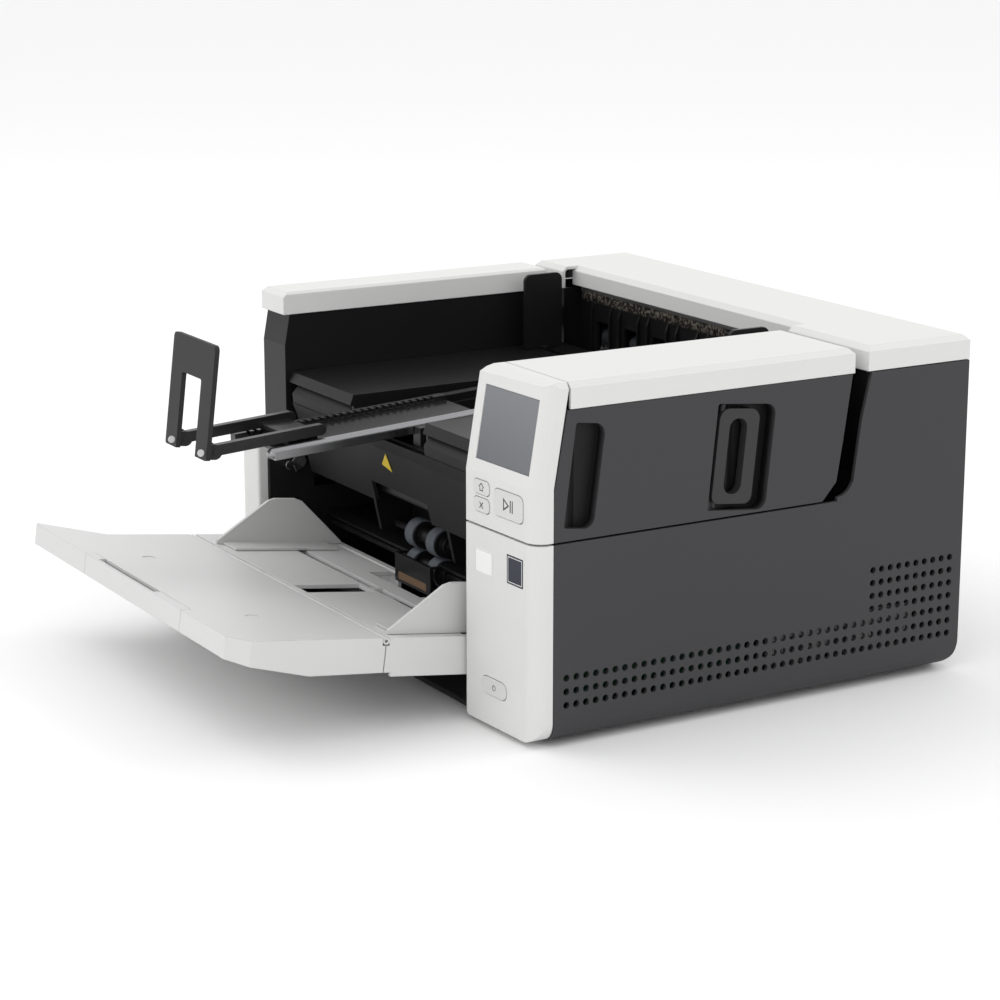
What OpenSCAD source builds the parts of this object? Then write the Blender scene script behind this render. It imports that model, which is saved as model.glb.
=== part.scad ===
// Sheet fed document scanner: paper goes in at the low front tray, passes between two
// imaging heads and comes out on the deck above. Millimetres, +Z up, +Y to the rear.
// The origin is the bottom centre of everything at rest. Inside place() the datum is the
// right side plane (x = 0), the front edge of the side panels (y = 0) and the split line
// between base and cover (z = 0).

/* [Body] */
// Width over the side panels
body_w = 458; // [430:1:520]
// Depth from the front columns to the rear panel
body_d = 376; // [366:1:430]
// Height from the table to the top of the white caps
body_h = 256; // [250:1:290]
// Height of the split line between base and cover, above the table
split_h = 146; // [142:1:154]
// Height of the rubber feet
foot_h = 4; // [3:0.5:8]
// Radius of the rubber feet
foot_r = 11; // [8:0.5:16]
// Thickness of moulded walls
wall = 3; // [2.4:0.1:4]
// Open joint between neighbouring covers
seam = 1.5; // [1:0.1:2.2]

/* [White caps] */
// Height of the white caps
cap_h = 18; // [14:0.5:22]
// Bevel along the top edges of the caps
cap_bevel = 4; // [2:0.5:5]
// Wall of the caps
cap_wall = 2.5; // [2:0.1:3]

/* [Control side] */
// Width of the control column and of the cover arm behind it
arm_w = 87; // [82:1:100]
// How far the front columns stand proud of the side panels
column_proud = 18; // [16:1:24]
// Radius of the outer front corner of the column
column_r = 12; // [8:0.5:14]
// Turn of the front face in plan, in degrees
face_turn = 2.2; // [0:0.1:3]
// Height above the split where the control panel starts to lean back
kink_h = 38; // [34:1:44]
// Lean of the upper control panel, in degrees
panel_lean = 9.6; // [5:0.1:12]
// Width of the display
display_w = 66; // [50:1:68]
// Height of the display
display_h = 51.5; // [40:0.5:54]
// Travel of the push buttons
button_travel = 1; // [0.5:0.1:1.5]
// Clearance round a push button
button_gap = 0.4; // [0.3:0.05:0.6]

/* [Left side] */
// Width of the left wall of the cover
left_wall_w = 39.5; // [34:0.5:50]
// Depth of the lower left column
left_column_d = 46; // [40:1:60]

/* [Rear cover] */
// Depth of the rear cover behind the output deck
rear_cover_d = 82; // [76:1:90]
// Open gap between the cover arms and the rear cover
rear_gap = 12; // [10:0.5:15]

/* [Side vents] */
// Diameter of a vent hole
vent_d = 5; // [3:0.1:5.6]
// Spacing of the vent columns
vent_pitch = 8; // [7:0.1:10]
// Spacing of the vent rows
vent_row_pitch = 9.8; // [8:0.1:11]
// Rows along the whole side
vent_rows = 3; // [2:1:3]
// Rows in the rear block
block_rows = 7; // [4:1:7]
// Columns in the rear block
block_columns = 10; // [6:1:14]

/* [Input tray] */
// Slope of the tray, rising to the front, in degrees
tray_slope = 7.6; // [4:0.1:10]
// Length of the folding front tray along its surface
tray_len = 117; // [100:1:120]
// Length of the lift table behind the fold line
table_len = 119; // [112:1:122]
// Depth of the tray skirt at the fold line
skirt_h = 25; // [20:0.5:27]
// Depth of the tray skirt at the front edge
front_lip_h = 16; // [12:0.5:20]
// Height of the side guides above the table
guide_h = 37; // [28:0.5:40]
// Thickness of the side guides
guide_t = 3; // [2:0.1:4]
// Widest sheet between the side guides
sheet_w = 305; // [290:1:308]

/* [Output deck] */
// Height of the deck above the split line
deck_h = 45.7; // [42:0.1:50]
// Width of the sunk channel for the extension
channel_w = 115; // [104:1:130]
// Slope of the extension, falling to the front, in degrees
extension_slope = 3.4; // [2:0.1:4]
// Width of the extension over its rails
extension_w = 67; // [60:1:76]
// Length of the extension
extension_len = 180; // [150:1:190]
// Width of the rails of the extension
rail_w = 8.5; // [7:0.5:10]
// Spacing of the teeth on the extension rail
tooth_pitch = 6; // [5:0.5:10]
// Width of the end stop flag
flag_w = 71; // [60:1:76]
// Height of the end stop flag above its pivot
flag_h = 77; // [60:1:90]
// Width of the window in the flag
window_w = 33; // [24:1:38]
// Height of the plate above the window
flag_head_h = 27; // [20:1:40]

/* [Rollers and shafts] */
// Radius of the feed and separation tyres
tyre_r = 11.5; // [9:0.5:14]
// Width of one feed tyre
tyre_w = 15; // [12:0.5:20]
// Distance between the middles of the two feed tyres
tyre_spacing = 33; // [26:0.5:42]
// Radius of the steel shafts
shaft_r = 3; // [2.5:0.1:4]
// Radial running clearance of shafts and pins
run_gap = 0.05; // [0.02:0.01:0.1]
// Radius of the transport rollers
roller_r = 8; // [6:0.5:9]

/* [Hidden] */
$fn = 48;
eps = 0.01;
fit = 0.3;

// Datum planes
rear_y = body_d - column_proud;
front_y = -column_proud;
top_z = body_h - split_h;
low_z = foot_h - split_h;
left_x = -body_w;
cap_z = top_z - cap_h;

// Space between the side plates
in_x0 = left_x + left_wall_w;
in_x1 = -arm_w - 1.5;
mid_x = (in_x0 + in_x1) / 2;
plate_t = 4;
panel_tuck = 10;

// Input tray
fold_y = -80;
fold_z = -77.1;
tip_y = fold_y - tray_len * cos(tray_slope) - front_lip_h * sin(tray_slope);
tray_x0 = in_x0 + 1.5;
tray_x1 = in_x1 - 1.5;

// Overall box
overall_y0 = min(tip_y, front_y);
body_mid_y = (rear_y + overall_y0) / 2;

// Cover pivot
pivot_y = rear_y - 75;
pivot_z = 78;
exit_edge_y = rear_y - rear_cover_d;
arm_end_y = exit_edge_y - 25.5;
rear_cap_y = arm_end_y + 2 + rear_gap;
deck_front_y = 8;

// Cover pivot and hinge arms
pivot_r = 4;
hinge_arm_w = 6;
hinge_arm_x = [in_x0 - 13.5, in_x1 + 16.5];
tube_y = 225;
tube_z = 30;
tube_r = 5;

// Control face: heights above the split line, and the display above the kink
home_v = 28;
cancel_v = 15.4;
power_v = -113;
display_u = 10.5;
display_v = 9.2;

// Release handle and latch
handle_y = 130;
latch_y = 3.4;
latch_z = -29;
latch_r = 2.5;

// Paper path: nip height, shafts and belt
nip_z = -71.5;
feed_y = 47;
feed_z = nip_z + tyre_r + fit / 2;
sep_z = nip_z - tyre_r - fit / 2;
drive_y = [88, 186];
drive_x = 90;
tyre_room = tyre_spacing / 2 + tyre_w / 2 + 1.5;
apron_y = feed_y - tyre_r - 3;
exit_y = exit_edge_y + 18;
exit_z = 52;
belt_x = in_x0 - plate_t - 11;
belt_w = 6;
belt_r = 8;

// Rear panel and its sockets
rear_panel_t = 2.5;
inlet_x = -70;
inlet_z = -105;
inlet_w = 24;
inlet_h = 17;
usb_x = -130;
usb_w = 12;
usb_h = 11;
net_x = -160;
net_w = 16;
net_h = 13.5;
lock_x = -195;

// Output deck, extension and end stop
slope_z = 40.5;
extension_t = 9;
guide_y = 236;
stop_y = -147;
stop_z = 37;
flag_lean = 7;

// Fold line of the tray
hinge_r = 2.5;
hinge_pin_r = 1.2;
guide_v = 68;

// ---------------------------------------------------------------- helpers

// Moves a piece from the working datum to the model's origin
module place() translate([body_w / 2, -body_mid_y, split_h]) children();

// Extrude a profile drawn in (y, z) along x
module along_x(x0, x1) translate([x0, 0, 0]) rotate([90, 0, 90]) linear_extrude(x1 - x0) children();

// Extrude a profile drawn in (x, z) along y
module along_y(y0, y1) translate([0, y1, 0]) rotate([90, 0, 0]) linear_extrude(y1 - y0) children();

// Extrude a profile drawn in (x, y) along z
module along_z(z0, z1) translate([0, 0, z0]) linear_extrude(z1 - z0) children();

// Block between two corners
module block(p, q) translate(p) cube(q - p);

// Rod along x through (y, z)
module rod_x(x0, x1, y, z, r) translate([x0, y, z]) rotate([0, 90, 0]) cylinder(h = x1 - x0, r = r);

// Rod along y through (x, z)
module rod_y(y0, y1, x, z, r) translate([x, y1, z]) rotate([90, 0, 0]) cylinder(h = y1 - y0, r = r);

// What a corner of radius r takes off a square corner
module corner_off(at, r, turn) {
  if (r > 0)
    translate(at) rotate(turn) difference() {
      translate([-1, -1]) square(r + 1);
      translate([r, r]) circle(r);
    }
}

// Rectangle from p to q, corner radii in the order low-left, low-right, top-right, top-left
module rounded(p, q, r) {
  difference() {
    translate(p) square(q - p);
    corner_off(p, r[0], 0);
    corner_off([q.x, p.y], r[1], 90);
    corner_off(q, r[2], 180);
    corner_off([p.x, q.y], r[3], 270);
  }
}

// Slot with round ends between two points
module pill(p, q, r) {
  d = q - p;
  translate(p) rotate(atan2(d.y, d.x)) {
    translate([0, -r]) square([norm(d), 2 * r]);
    circle(r);
    translate([norm(d), 0]) circle(r);
  }
}

// ---------------------------------------------------------------- base

module base_pan() color("dimgray") place() {
  x0 = left_x + panel_tuck + 0.5;
  x1 = -panel_tuck - 0.5;
  y1 = rear_y - wall - 1;
  difference() {
    union() {
      along_z(low_z, low_z + 4) rounded([x0, 3], [x1, y1], [4, 4, 12, 12]);
      along_z(low_z, low_z + 4) rounded([in_x0 + 1, -10], [in_x1 - 1, 20], [6, 6, 0, 0]);
      along_z(low_z, low_z + 16) difference() {
        rounded([x0, 3], [x1, y1], [4, 4, 12, 12]);
        rounded([x0 + wall, 3 + wall], [x1 - wall, y1 - wall], [2, 2, 10, 10]);
      }
      // Ribs across the floor
      for (i = [1:4]) block([in_x0 + 1, i * y1 / 5, low_z + 3], [in_x1 - 1, i * y1 / 5 + 2, low_z + 9]);
    }
    block([in_x0 + 1, 2, low_z + 4], [in_x1 - 1, 8, low_z + 17]);
    // Room for the left column
    block([left_x, 0, low_z - 1], [in_x0 - plate_t, front_y + left_column_d - 0.5, low_z + 17]);
  }
}

module rubber_feet() color("black") place() {
  for (x = [left_x + 40, -40], y = [26, rear_y - 40])
    translate([x, y, -split_h]) cylinder(h = foot_h - eps, r = foot_r);
}

// Section of a side panel across the machine: upright wall with the bottom edge tucked under
module side_section(z1) difference() {
  rounded([-panel_tuck, low_z + 1], [0, z1], [0, panel_tuck, 0, 0]);
  rounded([-panel_tuck - 1, low_z + 1 + wall], [-wall, z1 + 1], [0, panel_tuck - wall, 0, 0]);
}

// Side view of the lower panel, with the tall part beside the rear cover
module side_outline() {
  lip_y = rear_y - 90;
  union() {
    rounded([0.4, low_z], [rear_y - eps, -seam / 2], [3, 20, 0, 0]);
    difference() {
      polygon([[lip_y - 28, -1], [lip_y - 28, 2.4], [lip_y - 14, 12], [lip_y - 8, 57],
        [lip_y, cap_z - seam / 2], [rear_y - eps, cap_z - seam / 2], [rear_y - eps, -1]]);
      translate([lip_y - 28, 16.4]) circle(14);
    }
  }
}

// Grid of vent holes, rows counted from the bottom
module vent_holes(rows, last) {
  first_y = 11;
  count = floor((rear_y - first_y - 11) / vent_pitch) + 1;
  from = last > 0 ? count - last : 0;
  for (i = [from:count - 1], j = rows)
    translate([first_y + i * vent_pitch, -116 + j * vent_row_pitch]) circle(vent_d / 2);
}

module side_shell() {
  difference() {
    intersection() {
      along_y(0.4, rear_y - eps) side_section(cap_z);
      along_x(-12, 1) side_outline();
    }
    along_x(-wall - 1, 1) {
      vent_holes([0:vent_rows - 1], 0);
      vent_holes([vent_rows:block_rows - 1], block_columns);
    }
  }
  // Fixing bosses inside
  for (y = [30, 190, rear_y - 30]) rod_x(-9, -wall + eps, y, -40, 4);
}

module right_side_panel() color("#4c4c4e") place() side_shell();

module left_side_panel() color("#4c4c4e") place() translate([left_x, 0, 0]) mirror([1, 0, 0]) side_shell();

// Plan of the control column: front face turned a little, outer corner rounded in short flats
module column_plan(inset, rear) {
  r = column_r - inset;
  slope = tan(face_turn);
  flats = 8;
  centre = [-column_r, front_y + (arm_w - column_r) * slope + column_r / cos(face_turn)];
  polygon([[-arm_w + inset, rear], [-arm_w + inset, front_y + inset / cos(face_turn) + inset * slope],
    for (i = [0:flats]) let (turn = face_turn + i * (90 - face_turn) / flats) centre + r * [sin(turn), -cos(turn)],
    [-inset, rear]]);
}

module right_front_column() color("whitesmoke") place() {
  top = -seam / 2;
  low_r = 14;
  difference() {
    along_z(low_z, top) column_plan(0, 0);
    along_y(front_y - 1, 1) {
      corner_off([-arm_w, low_z], 3, 0);
      // Outer corner, in short flats because it meets the rounded front corner
      polygon([for (turn = [0:15:90]) [0, low_z + low_r] + low_r * [sin(turn) - 1, -cos(turn)],
        [1, low_z + low_r], [1, low_z - 1], [-low_r, low_z - 1]]);
    }
    intersection() {
      along_z(low_z + wall, top - wall) column_plan(wall, 1);
      along_y(front_y, 2)
        rounded([-arm_w + wall, low_z + wall], [-wall, top - wall], [0, low_r - wall, 0, 0]);
    }
    on_face() along_y(-5, 10) pill([27, power_v], [46, power_v], 6.2 + button_gap);
  }
}

module left_front_column() color("whitesmoke") place() {
  top = -seam / 2;
  x1 = in_x0 - plate_t - 0.5;
  difference() {
    along_z(low_z, top) rounded([left_x, front_y], [x1, front_y + left_column_d - 1], [10, 2, 0, 0]);
    along_z(low_z - 1, top - wall)
      rounded([left_x + wall, front_y + wall], [x1 - wall, rear_y], [8, 0, 0, 0]);
    block([left_x - 1, 0, low_z - 1], [left_x + 13, rear_y, top + 1]);
  }
}

// Frame on the front face: x along the face from its left edge, y into the machine
module on_face() translate([-arm_w, front_y, 0]) rotate([0, 0, face_turn]) children();

module power_button() color("gainsboro") place() on_face() {
  along_y(-button_travel * 0.6, 4) pill([27, power_v], [46, power_v], 6.2);
  along_y(4 - eps, 8) pill([32, power_v], [41, power_v], 3);
}

module rear_panel() color("#3c3c3e") place() {
  t = rear_panel_t;
  x0 = left_x + wall + 0.5;
  x1 = -wall - 0.5;
  difference() {
    along_y(rear_y - t, rear_y) rounded([x0, low_z + 12], [x1, cap_z - seam / 2], [3, 3, 0, 0]);
    // Air slots
    for (x = [left_x + 60:9:left_x + 190]) along_y(rear_y - t - 1, rear_y + 1) pill([x, -30], [x, 20], 2);
    along_y(rear_y - t - 1, rear_y + 1) {
      port_hole(inlet_x, inlet_z, inlet_w, inlet_h);
      port_hole(usb_x, inlet_z, usb_w, usb_h);
      port_hole(net_x, inlet_z, net_w, net_h);
      translate([lock_x, inlet_z]) rounded([-3.5, -1.5], [3.5, 1.5], [1, 1, 1, 1]);
    }
  }
}

module port_hole(x, z, w, h) translate([x, z]) square([w + 2 * fit, h + 2 * fit], center = true);

// Moulded socket let into the rear panel, with its mouth to the rear
module socket_body(x, z, w, h, deep, rim) {
  difference() {
    union() {
      along_y(rear_y - deep, rear_y + 0.8 - eps) translate([x, z]) square([w, h], center = true);
      along_y(rear_y - 5.5, rear_y - 3) translate([x, z]) square([w + 6, h + 4], center = true);
    }
    along_y(rear_y - deep + rim, rear_y + 2) translate([x, z])
      square([w - 2 * rim, h - 2 * rim], center = true);
  }
}

module power_inlet() color("black") place() translate([0, -0.8, 0]) {
  socket_body(inlet_x, inlet_z, inlet_w, inlet_h, 18, 1.6);
  for (dx = [-5, 0, 5]) rod_y(rear_y - 17, rear_y - 4, inlet_x + dx, inlet_z + (dx == 0 ? 2 : -2), 1.2);
}

module data_ports() color("silver") place() translate([0, -0.8, 0]) {
  socket_body(usb_x, inlet_z, usb_w, usb_h, 14, 0.9);
  block([usb_x - 3, rear_y - 13.5, inlet_z - 1.2], [usb_x + 3, rear_y - 4, inlet_z + 1.2]);
  socket_body(net_x, inlet_z, net_w, net_h, 16, 1);
}

// Section of a cap across the machine: hollow from below, top edges bevelled
module cap_section(x0, x1, inset, b0, b1) {
  low = cap_z - (inset > 0 ? 1 : 0);
  polygon([[x0 + inset, low], [x0 + inset, top_z - b0], [x0 + max(b0, inset), top_z - inset],
    [x1 - max(b1, inset), top_z - inset], [x1 - inset, top_z - b1], [x1 - inset, low]]);
}

// Side view of a cap, with the front and rear edges bevelled
module cap_side(y0, y1, inset, b0, b1) {
  polygon([[y0 + inset, cap_z - 2], [y0 + inset, top_z - b0], [y0 + max(b0, inset), top_z - inset],
    [y1 - max(b1, inset), top_z - inset], [y1 - inset, top_z - b1], [y1 - inset, cap_z - 2]]);
}

module cap_block(x0, x1, y0, y1, inset, bx0, bx1, by0, by1) {
  intersection() {
    along_y(y0 - 1, y1 + 1) cap_section(x0, x1, inset, bx0, bx1);
    along_x(x0 - 1, x1 + 1) cap_side(y0, y1, inset, by0, by1);
  }
}

module cap(x0, x1, y0, y1, bx0, bx1, by0, by1) {
  difference() {
    cap_block(x0, x1, y0, y1, 0, bx0, bx1, by0, by1);
    cap_block(x0, x1, y0, y1, cap_wall, bx0, bx1, by0, by1);
  }
}

module rear_top_cap() color("whitesmoke") place() {
  y0 = rear_cap_y;
  step_y = exit_edge_y;
  difference() {
    cap_block(left_x, 0, y0, rear_y - eps, 0, cap_bevel, cap_bevel, cap_bevel, cap_bevel);
    cap_block(left_x, 0, y0, rear_y - eps, cap_wall, cap_bevel, cap_bevel, cap_bevel, cap_bevel);
    block([in_x0 + 5, y0 - 1, cap_z - 2], [in_x1 - 8, step_y + cap_bevel, top_z + 1]);
  }
  // Front apron over the exit
  difference() {
    along_x(in_x0 + 2, in_x1 - 5) polygon([[step_y, cap_z + 2], [step_y, top_z - cap_bevel],
      [step_y + cap_bevel, top_z], [step_y + 9, top_z], [step_y + 9, cap_z + 2]]);
    along_x(in_x0 - 1, in_x1 - 1) polygon([[step_y + cap_wall, cap_z], [step_y + cap_wall, top_z - cap_bevel],
      [step_y + cap_bevel, top_z - cap_wall], [step_y + 10, top_z - cap_wall], [step_y + 10, cap_z]]);
  }
}

// Dark front of the rear cover beside the exit, with slots for the hinge arms
module rear_inner_cover() color("#1c1c1e") place() {
  y0 = rear_cap_y + 2;
  t = 2;
  exit_x0 = in_x0 + 4;
  exit_x1 = in_x1 - 7;
  difference() {
    union() {
      block([left_x + wall + 0.5, y0, 14], [exit_x0, y0 + t, cap_z - 0.5]);
      block([exit_x0 - t, y0, 14], [exit_x0, exit_edge_y + 10, cap_z - 0.5]);
      block([exit_x1, y0, 14], [-wall - 0.5, y0 + t, cap_z - 0.5]);
      block([exit_x1, y0, 14], [exit_x1 + t, exit_edge_y + 10, cap_z - 0.5]);
    }
    for (x = hinge_arm_x) block([x - 1, y0 - 1, 52], [x + hinge_arm_w + 1, y0 + t + 1, cap_z]);
  }
}

module exit_wall() color("#1c1c1e") place() {
  y0 = exit_edge_y + 7;
  x0 = in_x0 + 4;
  x1 = in_x1 - 7;
  along_y(y0, y0 + 3) difference() {
    rounded([x0, 12], [x1, cap_z], [4, 4, 0, 0]);
    // Mouths for the exit rollers
    for (i = [-3:3]) translate([mid_x + i * 42, 40]) rounded([-9, 0], [9, 26], [2, 2, 2, 2]);
  }
  // End webs that carry the roller shaft
  for (x = [x0, x1 - 3]) along_x(x, x + 3) difference() {
    rounded([y0 + 3 - eps, 36], [exit_y + 9, 70], [0, 6, 6, 0]);
    translate([exit_y, exit_z]) circle(shaft_r + run_gap);
  }
  for (i = [-3:3], s = [-1, 1]) {
    x = mid_x + i * 42 + s * 14;
    along_x(x - 1, x + 1) polygon([[y0 + eps, 22], [y0 - 3, 30], [y0 - 3, 74], [y0 + eps, 82]]);
  }
}

module static_brush() color("dimgray") place() {
  y0 = exit_edge_y + 3.5;
  x0 = in_x0 + 10;
  x1 = in_x1 - 12;
  block([x0, y0, cap_z - 2], [x1, y0 + 2.5, cap_z + 7]);
  tuft_pitch = 5;
  for (x = [x0:tuft_pitch:x1 - tuft_pitch])
    block([x + 0.6, y0 + 0.6, cap_z - 11], [x + 4.4, y0 + 1.9, cap_z - 2 + eps]);
}

// ---------------------------------------------------------------- paper path, base side

// Side plate that carries the shafts, drawn in (y, z)
module plate_outline(front) {
  difference() {
    union() {
      rounded([front, low_z + 20], [30, latch_z + 12], [6, 0, 12, 10]);
      rounded([10, low_z + 20], [arm_end_y + 4, -52], [0, 8, 8, 0]);
    }
    for (y = drive_y) translate([y, nip_z - roller_r]) circle(shaft_r + run_gap);
    translate([feed_y, sep_z]) circle(shaft_r + run_gap);
  }
}

module side_plate(x0, front) {
  along_x(x0, x0 + plate_t) plate_outline(front);
  // Foot flange on the base pan
  block([x0, 24, low_z + 4], [x0 + plate_t, arm_end_y - 6, low_z + 20 + eps]);
}

module side_plates() color("#232325") place() {
  side_plate(in_x0 - plate_t, -10);
  side_plate(in_x1, 0.5);
}

module latch_pins() color("silver") place() {
  rod_x(in_x0, in_x0 + 8, latch_y, latch_z, latch_r);
  rod_x(in_x0 + 8 - eps, in_x0 + 9.5, latch_y, latch_z, latch_r + 1);
  rod_x(in_x1 - 8, in_x1, latch_y, latch_z, latch_r);
  rod_x(in_x1 - 9.5, in_x1 - 8 + eps, latch_y, latch_z, latch_r + 1);
}

module lower_guide() color("#1c1c1e") place() {
  x0 = in_x0;
  x1 = in_x1;
  difference() {
    along_x(x0, x1) polygon([[feed_y - 7, nip_z - 5], [feed_y - 7, nip_z - 3], [feed_y + 4, nip_z - 0.8],
      [drive_y[1] + 40, nip_z - 0.8], [drive_y[1] + 40, nip_z - 4], [feed_y + 2, nip_z - 5]]);
    // Windows for the rollers
    block([mid_x - tyre_room, feed_y - 8, nip_z - 12], [mid_x + tyre_room, feed_y + tyre_r + 3, nip_z + 2]);
    for (y = drive_y, x = [mid_x - drive_x, mid_x + drive_x])
      block([x - 14, y - roller_r - 2, nip_z - 12], [x + 14, y + roller_r + 2, nip_z + 2]);
    // Window for the lower glass
    block([x0 + 4, 118, nip_z - 12], [x1 - 4, 158, nip_z + 2]);
  }
  // Apron in front of the separation roller, on two links
  apron_x = tyre_room + 2.5;
  block([mid_x - apron_x, apron_y - 2.5, nip_z - 26], [mid_x + apron_x, apron_y, nip_z - 3.5]);
  for (s = [-1, 1]) translate([mid_x + s * (tyre_room + 1.3), 0, 0])
    block([-1.2, apron_y - 1, nip_z - 5], [1.2, feed_y - 5, nip_z - 3.5]);
  turn_shell();
}

module lower_camera() color("#303034") place() {
  difference() {
    along_x(in_x0, in_x1) rounded([112, nip_z - 44], [164, nip_z - 5.5], [4, 4, 0, 0]);
    along_x(in_x0 + 10, in_x1 - 10) rounded([121, nip_z - 38], [155, nip_z], [2, 2, 0, 0]);
  }
  block([in_x0 + 12, 126, nip_z - 39], [in_x1 - 12, 150, nip_z - 30]);
}

module lower_glass() color("lightblue", 0.5) place()
  block([in_x0 + 8, 118.4, nip_z - 5.5], [in_x1 - 8, 157.6, nip_z - 0.9]);

// Shaft with tyres, along x
module roller(y, z, r, tyres, w, reach) {
  rod_x(in_x0 - reach, in_x1 + reach, y, z, shaft_r);
  for (x = tyres) rod_x(x - w / 2, x + w / 2, y, z, r);
}

module separation_roller() color("slategray") place() {
  roller(feed_y, sep_z, tyre_r, [mid_x - tyre_spacing / 2, mid_x + tyre_spacing / 2], tyre_w, plate_t + 1);
}

// Driven transport roller with its belt pulley outside the left side plate
module drive_roller(y) {
  roller(y, nip_z - roller_r, roller_r - fit, [mid_x - drive_x, mid_x + drive_x], 24, plate_t + 1);
  rod_x(belt_x, in_x0 - plate_t, y, nip_z - roller_r, shaft_r);
  rod_x(belt_x + 0.5, belt_x + belt_w - 0.5, y, nip_z - roller_r, belt_r);
}

module front_drive_roller() color("#55585c") place() drive_roller(drive_y[0]);

module rear_drive_roller() color("#55585c") place() drive_roller(drive_y[1]);

// Curved shell that turns the sheet up to the deck
module turn_shell() {
  cy = drive_y[1] + 39;
  r = 66;
  along_x(in_x0 + 6, in_x1 - 6) difference() {
    translate([cy, nip_z + r + 2.6]) circle(r + 6, $fn = 96);
    translate([cy, nip_z + r + 2.6]) circle(r + 3.4, $fn = 96);
    translate([cy - 2 * r, nip_z - 8]) square([2 * r, 3 * r]);
    translate([cy - 1, nip_z + r + 10]) square([2 * r, 2 * r]);
  }
}

module exit_roller() color("#55585c") place() {
  for (i = [-3:3]) rod_x(mid_x + i * 42 - 7, mid_x + i * 42 + 7, exit_y, exit_z, 7.4);
  rod_x(in_x0 + 4.5, in_x1 - 7.5, exit_y, exit_z, shaft_r);
}

module drive_belt() color("black") place() {
  z = nip_z - roller_r;
  along_x(belt_x, belt_x + belt_w) difference() {
    pill([drive_y[0], z], [drive_y[1], z], belt_r + fit + 1.3);
    pill([drive_y[0], z], [drive_y[1], z], belt_r + fit);
  }
}

module drive_motor() color("silver") place() {
  z = nip_z - roller_r - 34;
  x = in_x0 - plate_t;
  rod_x(x - 20, x - 1, 137, z, 17);
  rod_x(x - 1 - eps, x - eps, 137, z, 20);
}

module power_supply() color("silver") place() difference() {
  block([-78, 190, low_z + 4], [-15, 325, low_z + 50]);
  block([-76.5, 191.5, low_z + 5.5], [-16.5, 323.5, low_z + 51]);
  for (y = [200:10:310]) along_x(-79, -12) translate([y, low_z + 28]) rounded([0, -12], [5, 12], [2, 2, 2, 2]);
}

module main_board() color("darkgreen") place() {
  block([-30, 20, low_z + 4], [-28.4, 175, low_z + 120]);
  // Chips up the board
  for (i = [0:3]) translate([-34, 35 + i * 34, low_z + 40 + i * 12]) cube([4 + eps, 22, 22]);
}

module hinge_brackets() color("silver") place() {
  side = 2;
  for (x = hinge_arm_x) {
    along_x(x - side - 3, x - side) bracket_outline();
    along_x(x + hinge_arm_w + side, x + hinge_arm_w + side + 3) bracket_outline();
    rod_x(x - side - 4, x + hinge_arm_w + side + 4, pivot_y, pivot_z, pivot_r);
  }
}

module bracket_outline() {
  inner_y = rear_y - rear_panel_t;
  translate([pivot_y, pivot_z]) circle(10);
  polygon([[pivot_y - 8, 55], [pivot_y - 10, pivot_z], [pivot_y + 10, pivot_z], [inner_y, 60], [inner_y, -20],
    [pivot_y + 10, 30]]);
}

// ---------------------------------------------------------------- cover

// Side view of a cover arm: leaning front edge, raked rear edge, rounded lower rear corner
module arm_outline(inset) {
  y1 = arm_end_y;
  difference() {
    polygon([[0.4 + inset, seam / 2 + inset], [0.4 + inset, kink_h - 2], [10.5 + inset, cap_z - seam / 3],
      [y1, cap_z - seam / 3], [y1 - 7 - inset, 44], [y1 - 12 - inset, 14], [y1 - 24, seam / 2 + inset]]);
    intersection() {
      translate([y1 - 26, 0]) square([30, 16]);
      difference() {
        translate([y1 - 26, 0]) square([30, 14.5]);
        translate([y1 - 26.5, 14.5 + seam / 2]) circle(14.5 - inset);
      }
    }
  }
}

// Finger scoop: outline leaning back with rounded rear corners, floor ramping in
module scoop(y0, z0, w, h, lean, deep, grow) {
  intersection() {
    along_x(-deep - 3, 1) translate([y0, z0]) rotate(-lean)
      rounded([-grow, -grow], [w + grow, h + grow], [2, 8, 8, 2]);
    along_z(z0 - 12, z0 + h + 12) polygon([[1, y0 - 4], [-0.5 - grow, y0 - 4], [-deep - grow, y0 + w * 0.55],
      [-deep - grow, y0 + w + 16], [1, y0 + w + 16]]);
  }
}

module right_arm_cover() color("#4c4c4e") place() {
  y1 = arm_end_y;
  difference() {
    union() {
      along_x(-wall, 0) arm_outline(0);
      intersection() {
        union() {
          scoop(8, 10, 24, 73, 7.5, 9, 2.4);
          scoop(126, 7, 50, 76, 6, 11, 2.4);
          along_x(-11.8, 0) handle_outline(3);
        }
        along_x(-20, -wall + eps) arm_outline(1);
      }
      // Rear return of the arm
      intersection() {
        along_x(-arm_w + 4, -wall + eps) difference() {
          arm_outline(0);
          arm_outline(wall);
        }
        block([-arm_w + 4, y1 - 26, 2], [0, y1 + 1, cap_z - 1]);
      }
    }
    scoop(8, 10, 24, 73, 7.5, 9, 0);
    scoop(126, 7, 50, 76, 6, 11, 0);
    along_x(-9.4, 1) handle_outline(1);
    handle_pin(-3.4, 1, 2 + run_gap);
    handle_pin(67, 71.4, 2 + run_gap);
    hinge_arm_room(hinge_arm_x[1]);
  }
}

module right_arm_liner() color("#1c1c1e") place() {
  along_x(-arm_w, -arm_w + wall) difference() {
    arm_outline(0.5);
    translate([-1, -1]) square([12, 200]);
    translate([tube_y, tube_z]) circle(tube_r + 0.5);
  }
}

module right_arm_cap() color("whitesmoke") place() {
  y1 = arm_end_y;
  difference() {
    cap_block(-arm_w, 0, 13, y1 + 2, 0, 2, cap_bevel, 0, cap_bevel);
    cap_block(-arm_w, 0, 13 - cap_wall - 2, y1 + 2, cap_wall, 2, cap_bevel, 0, cap_bevel);
  }
}

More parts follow.
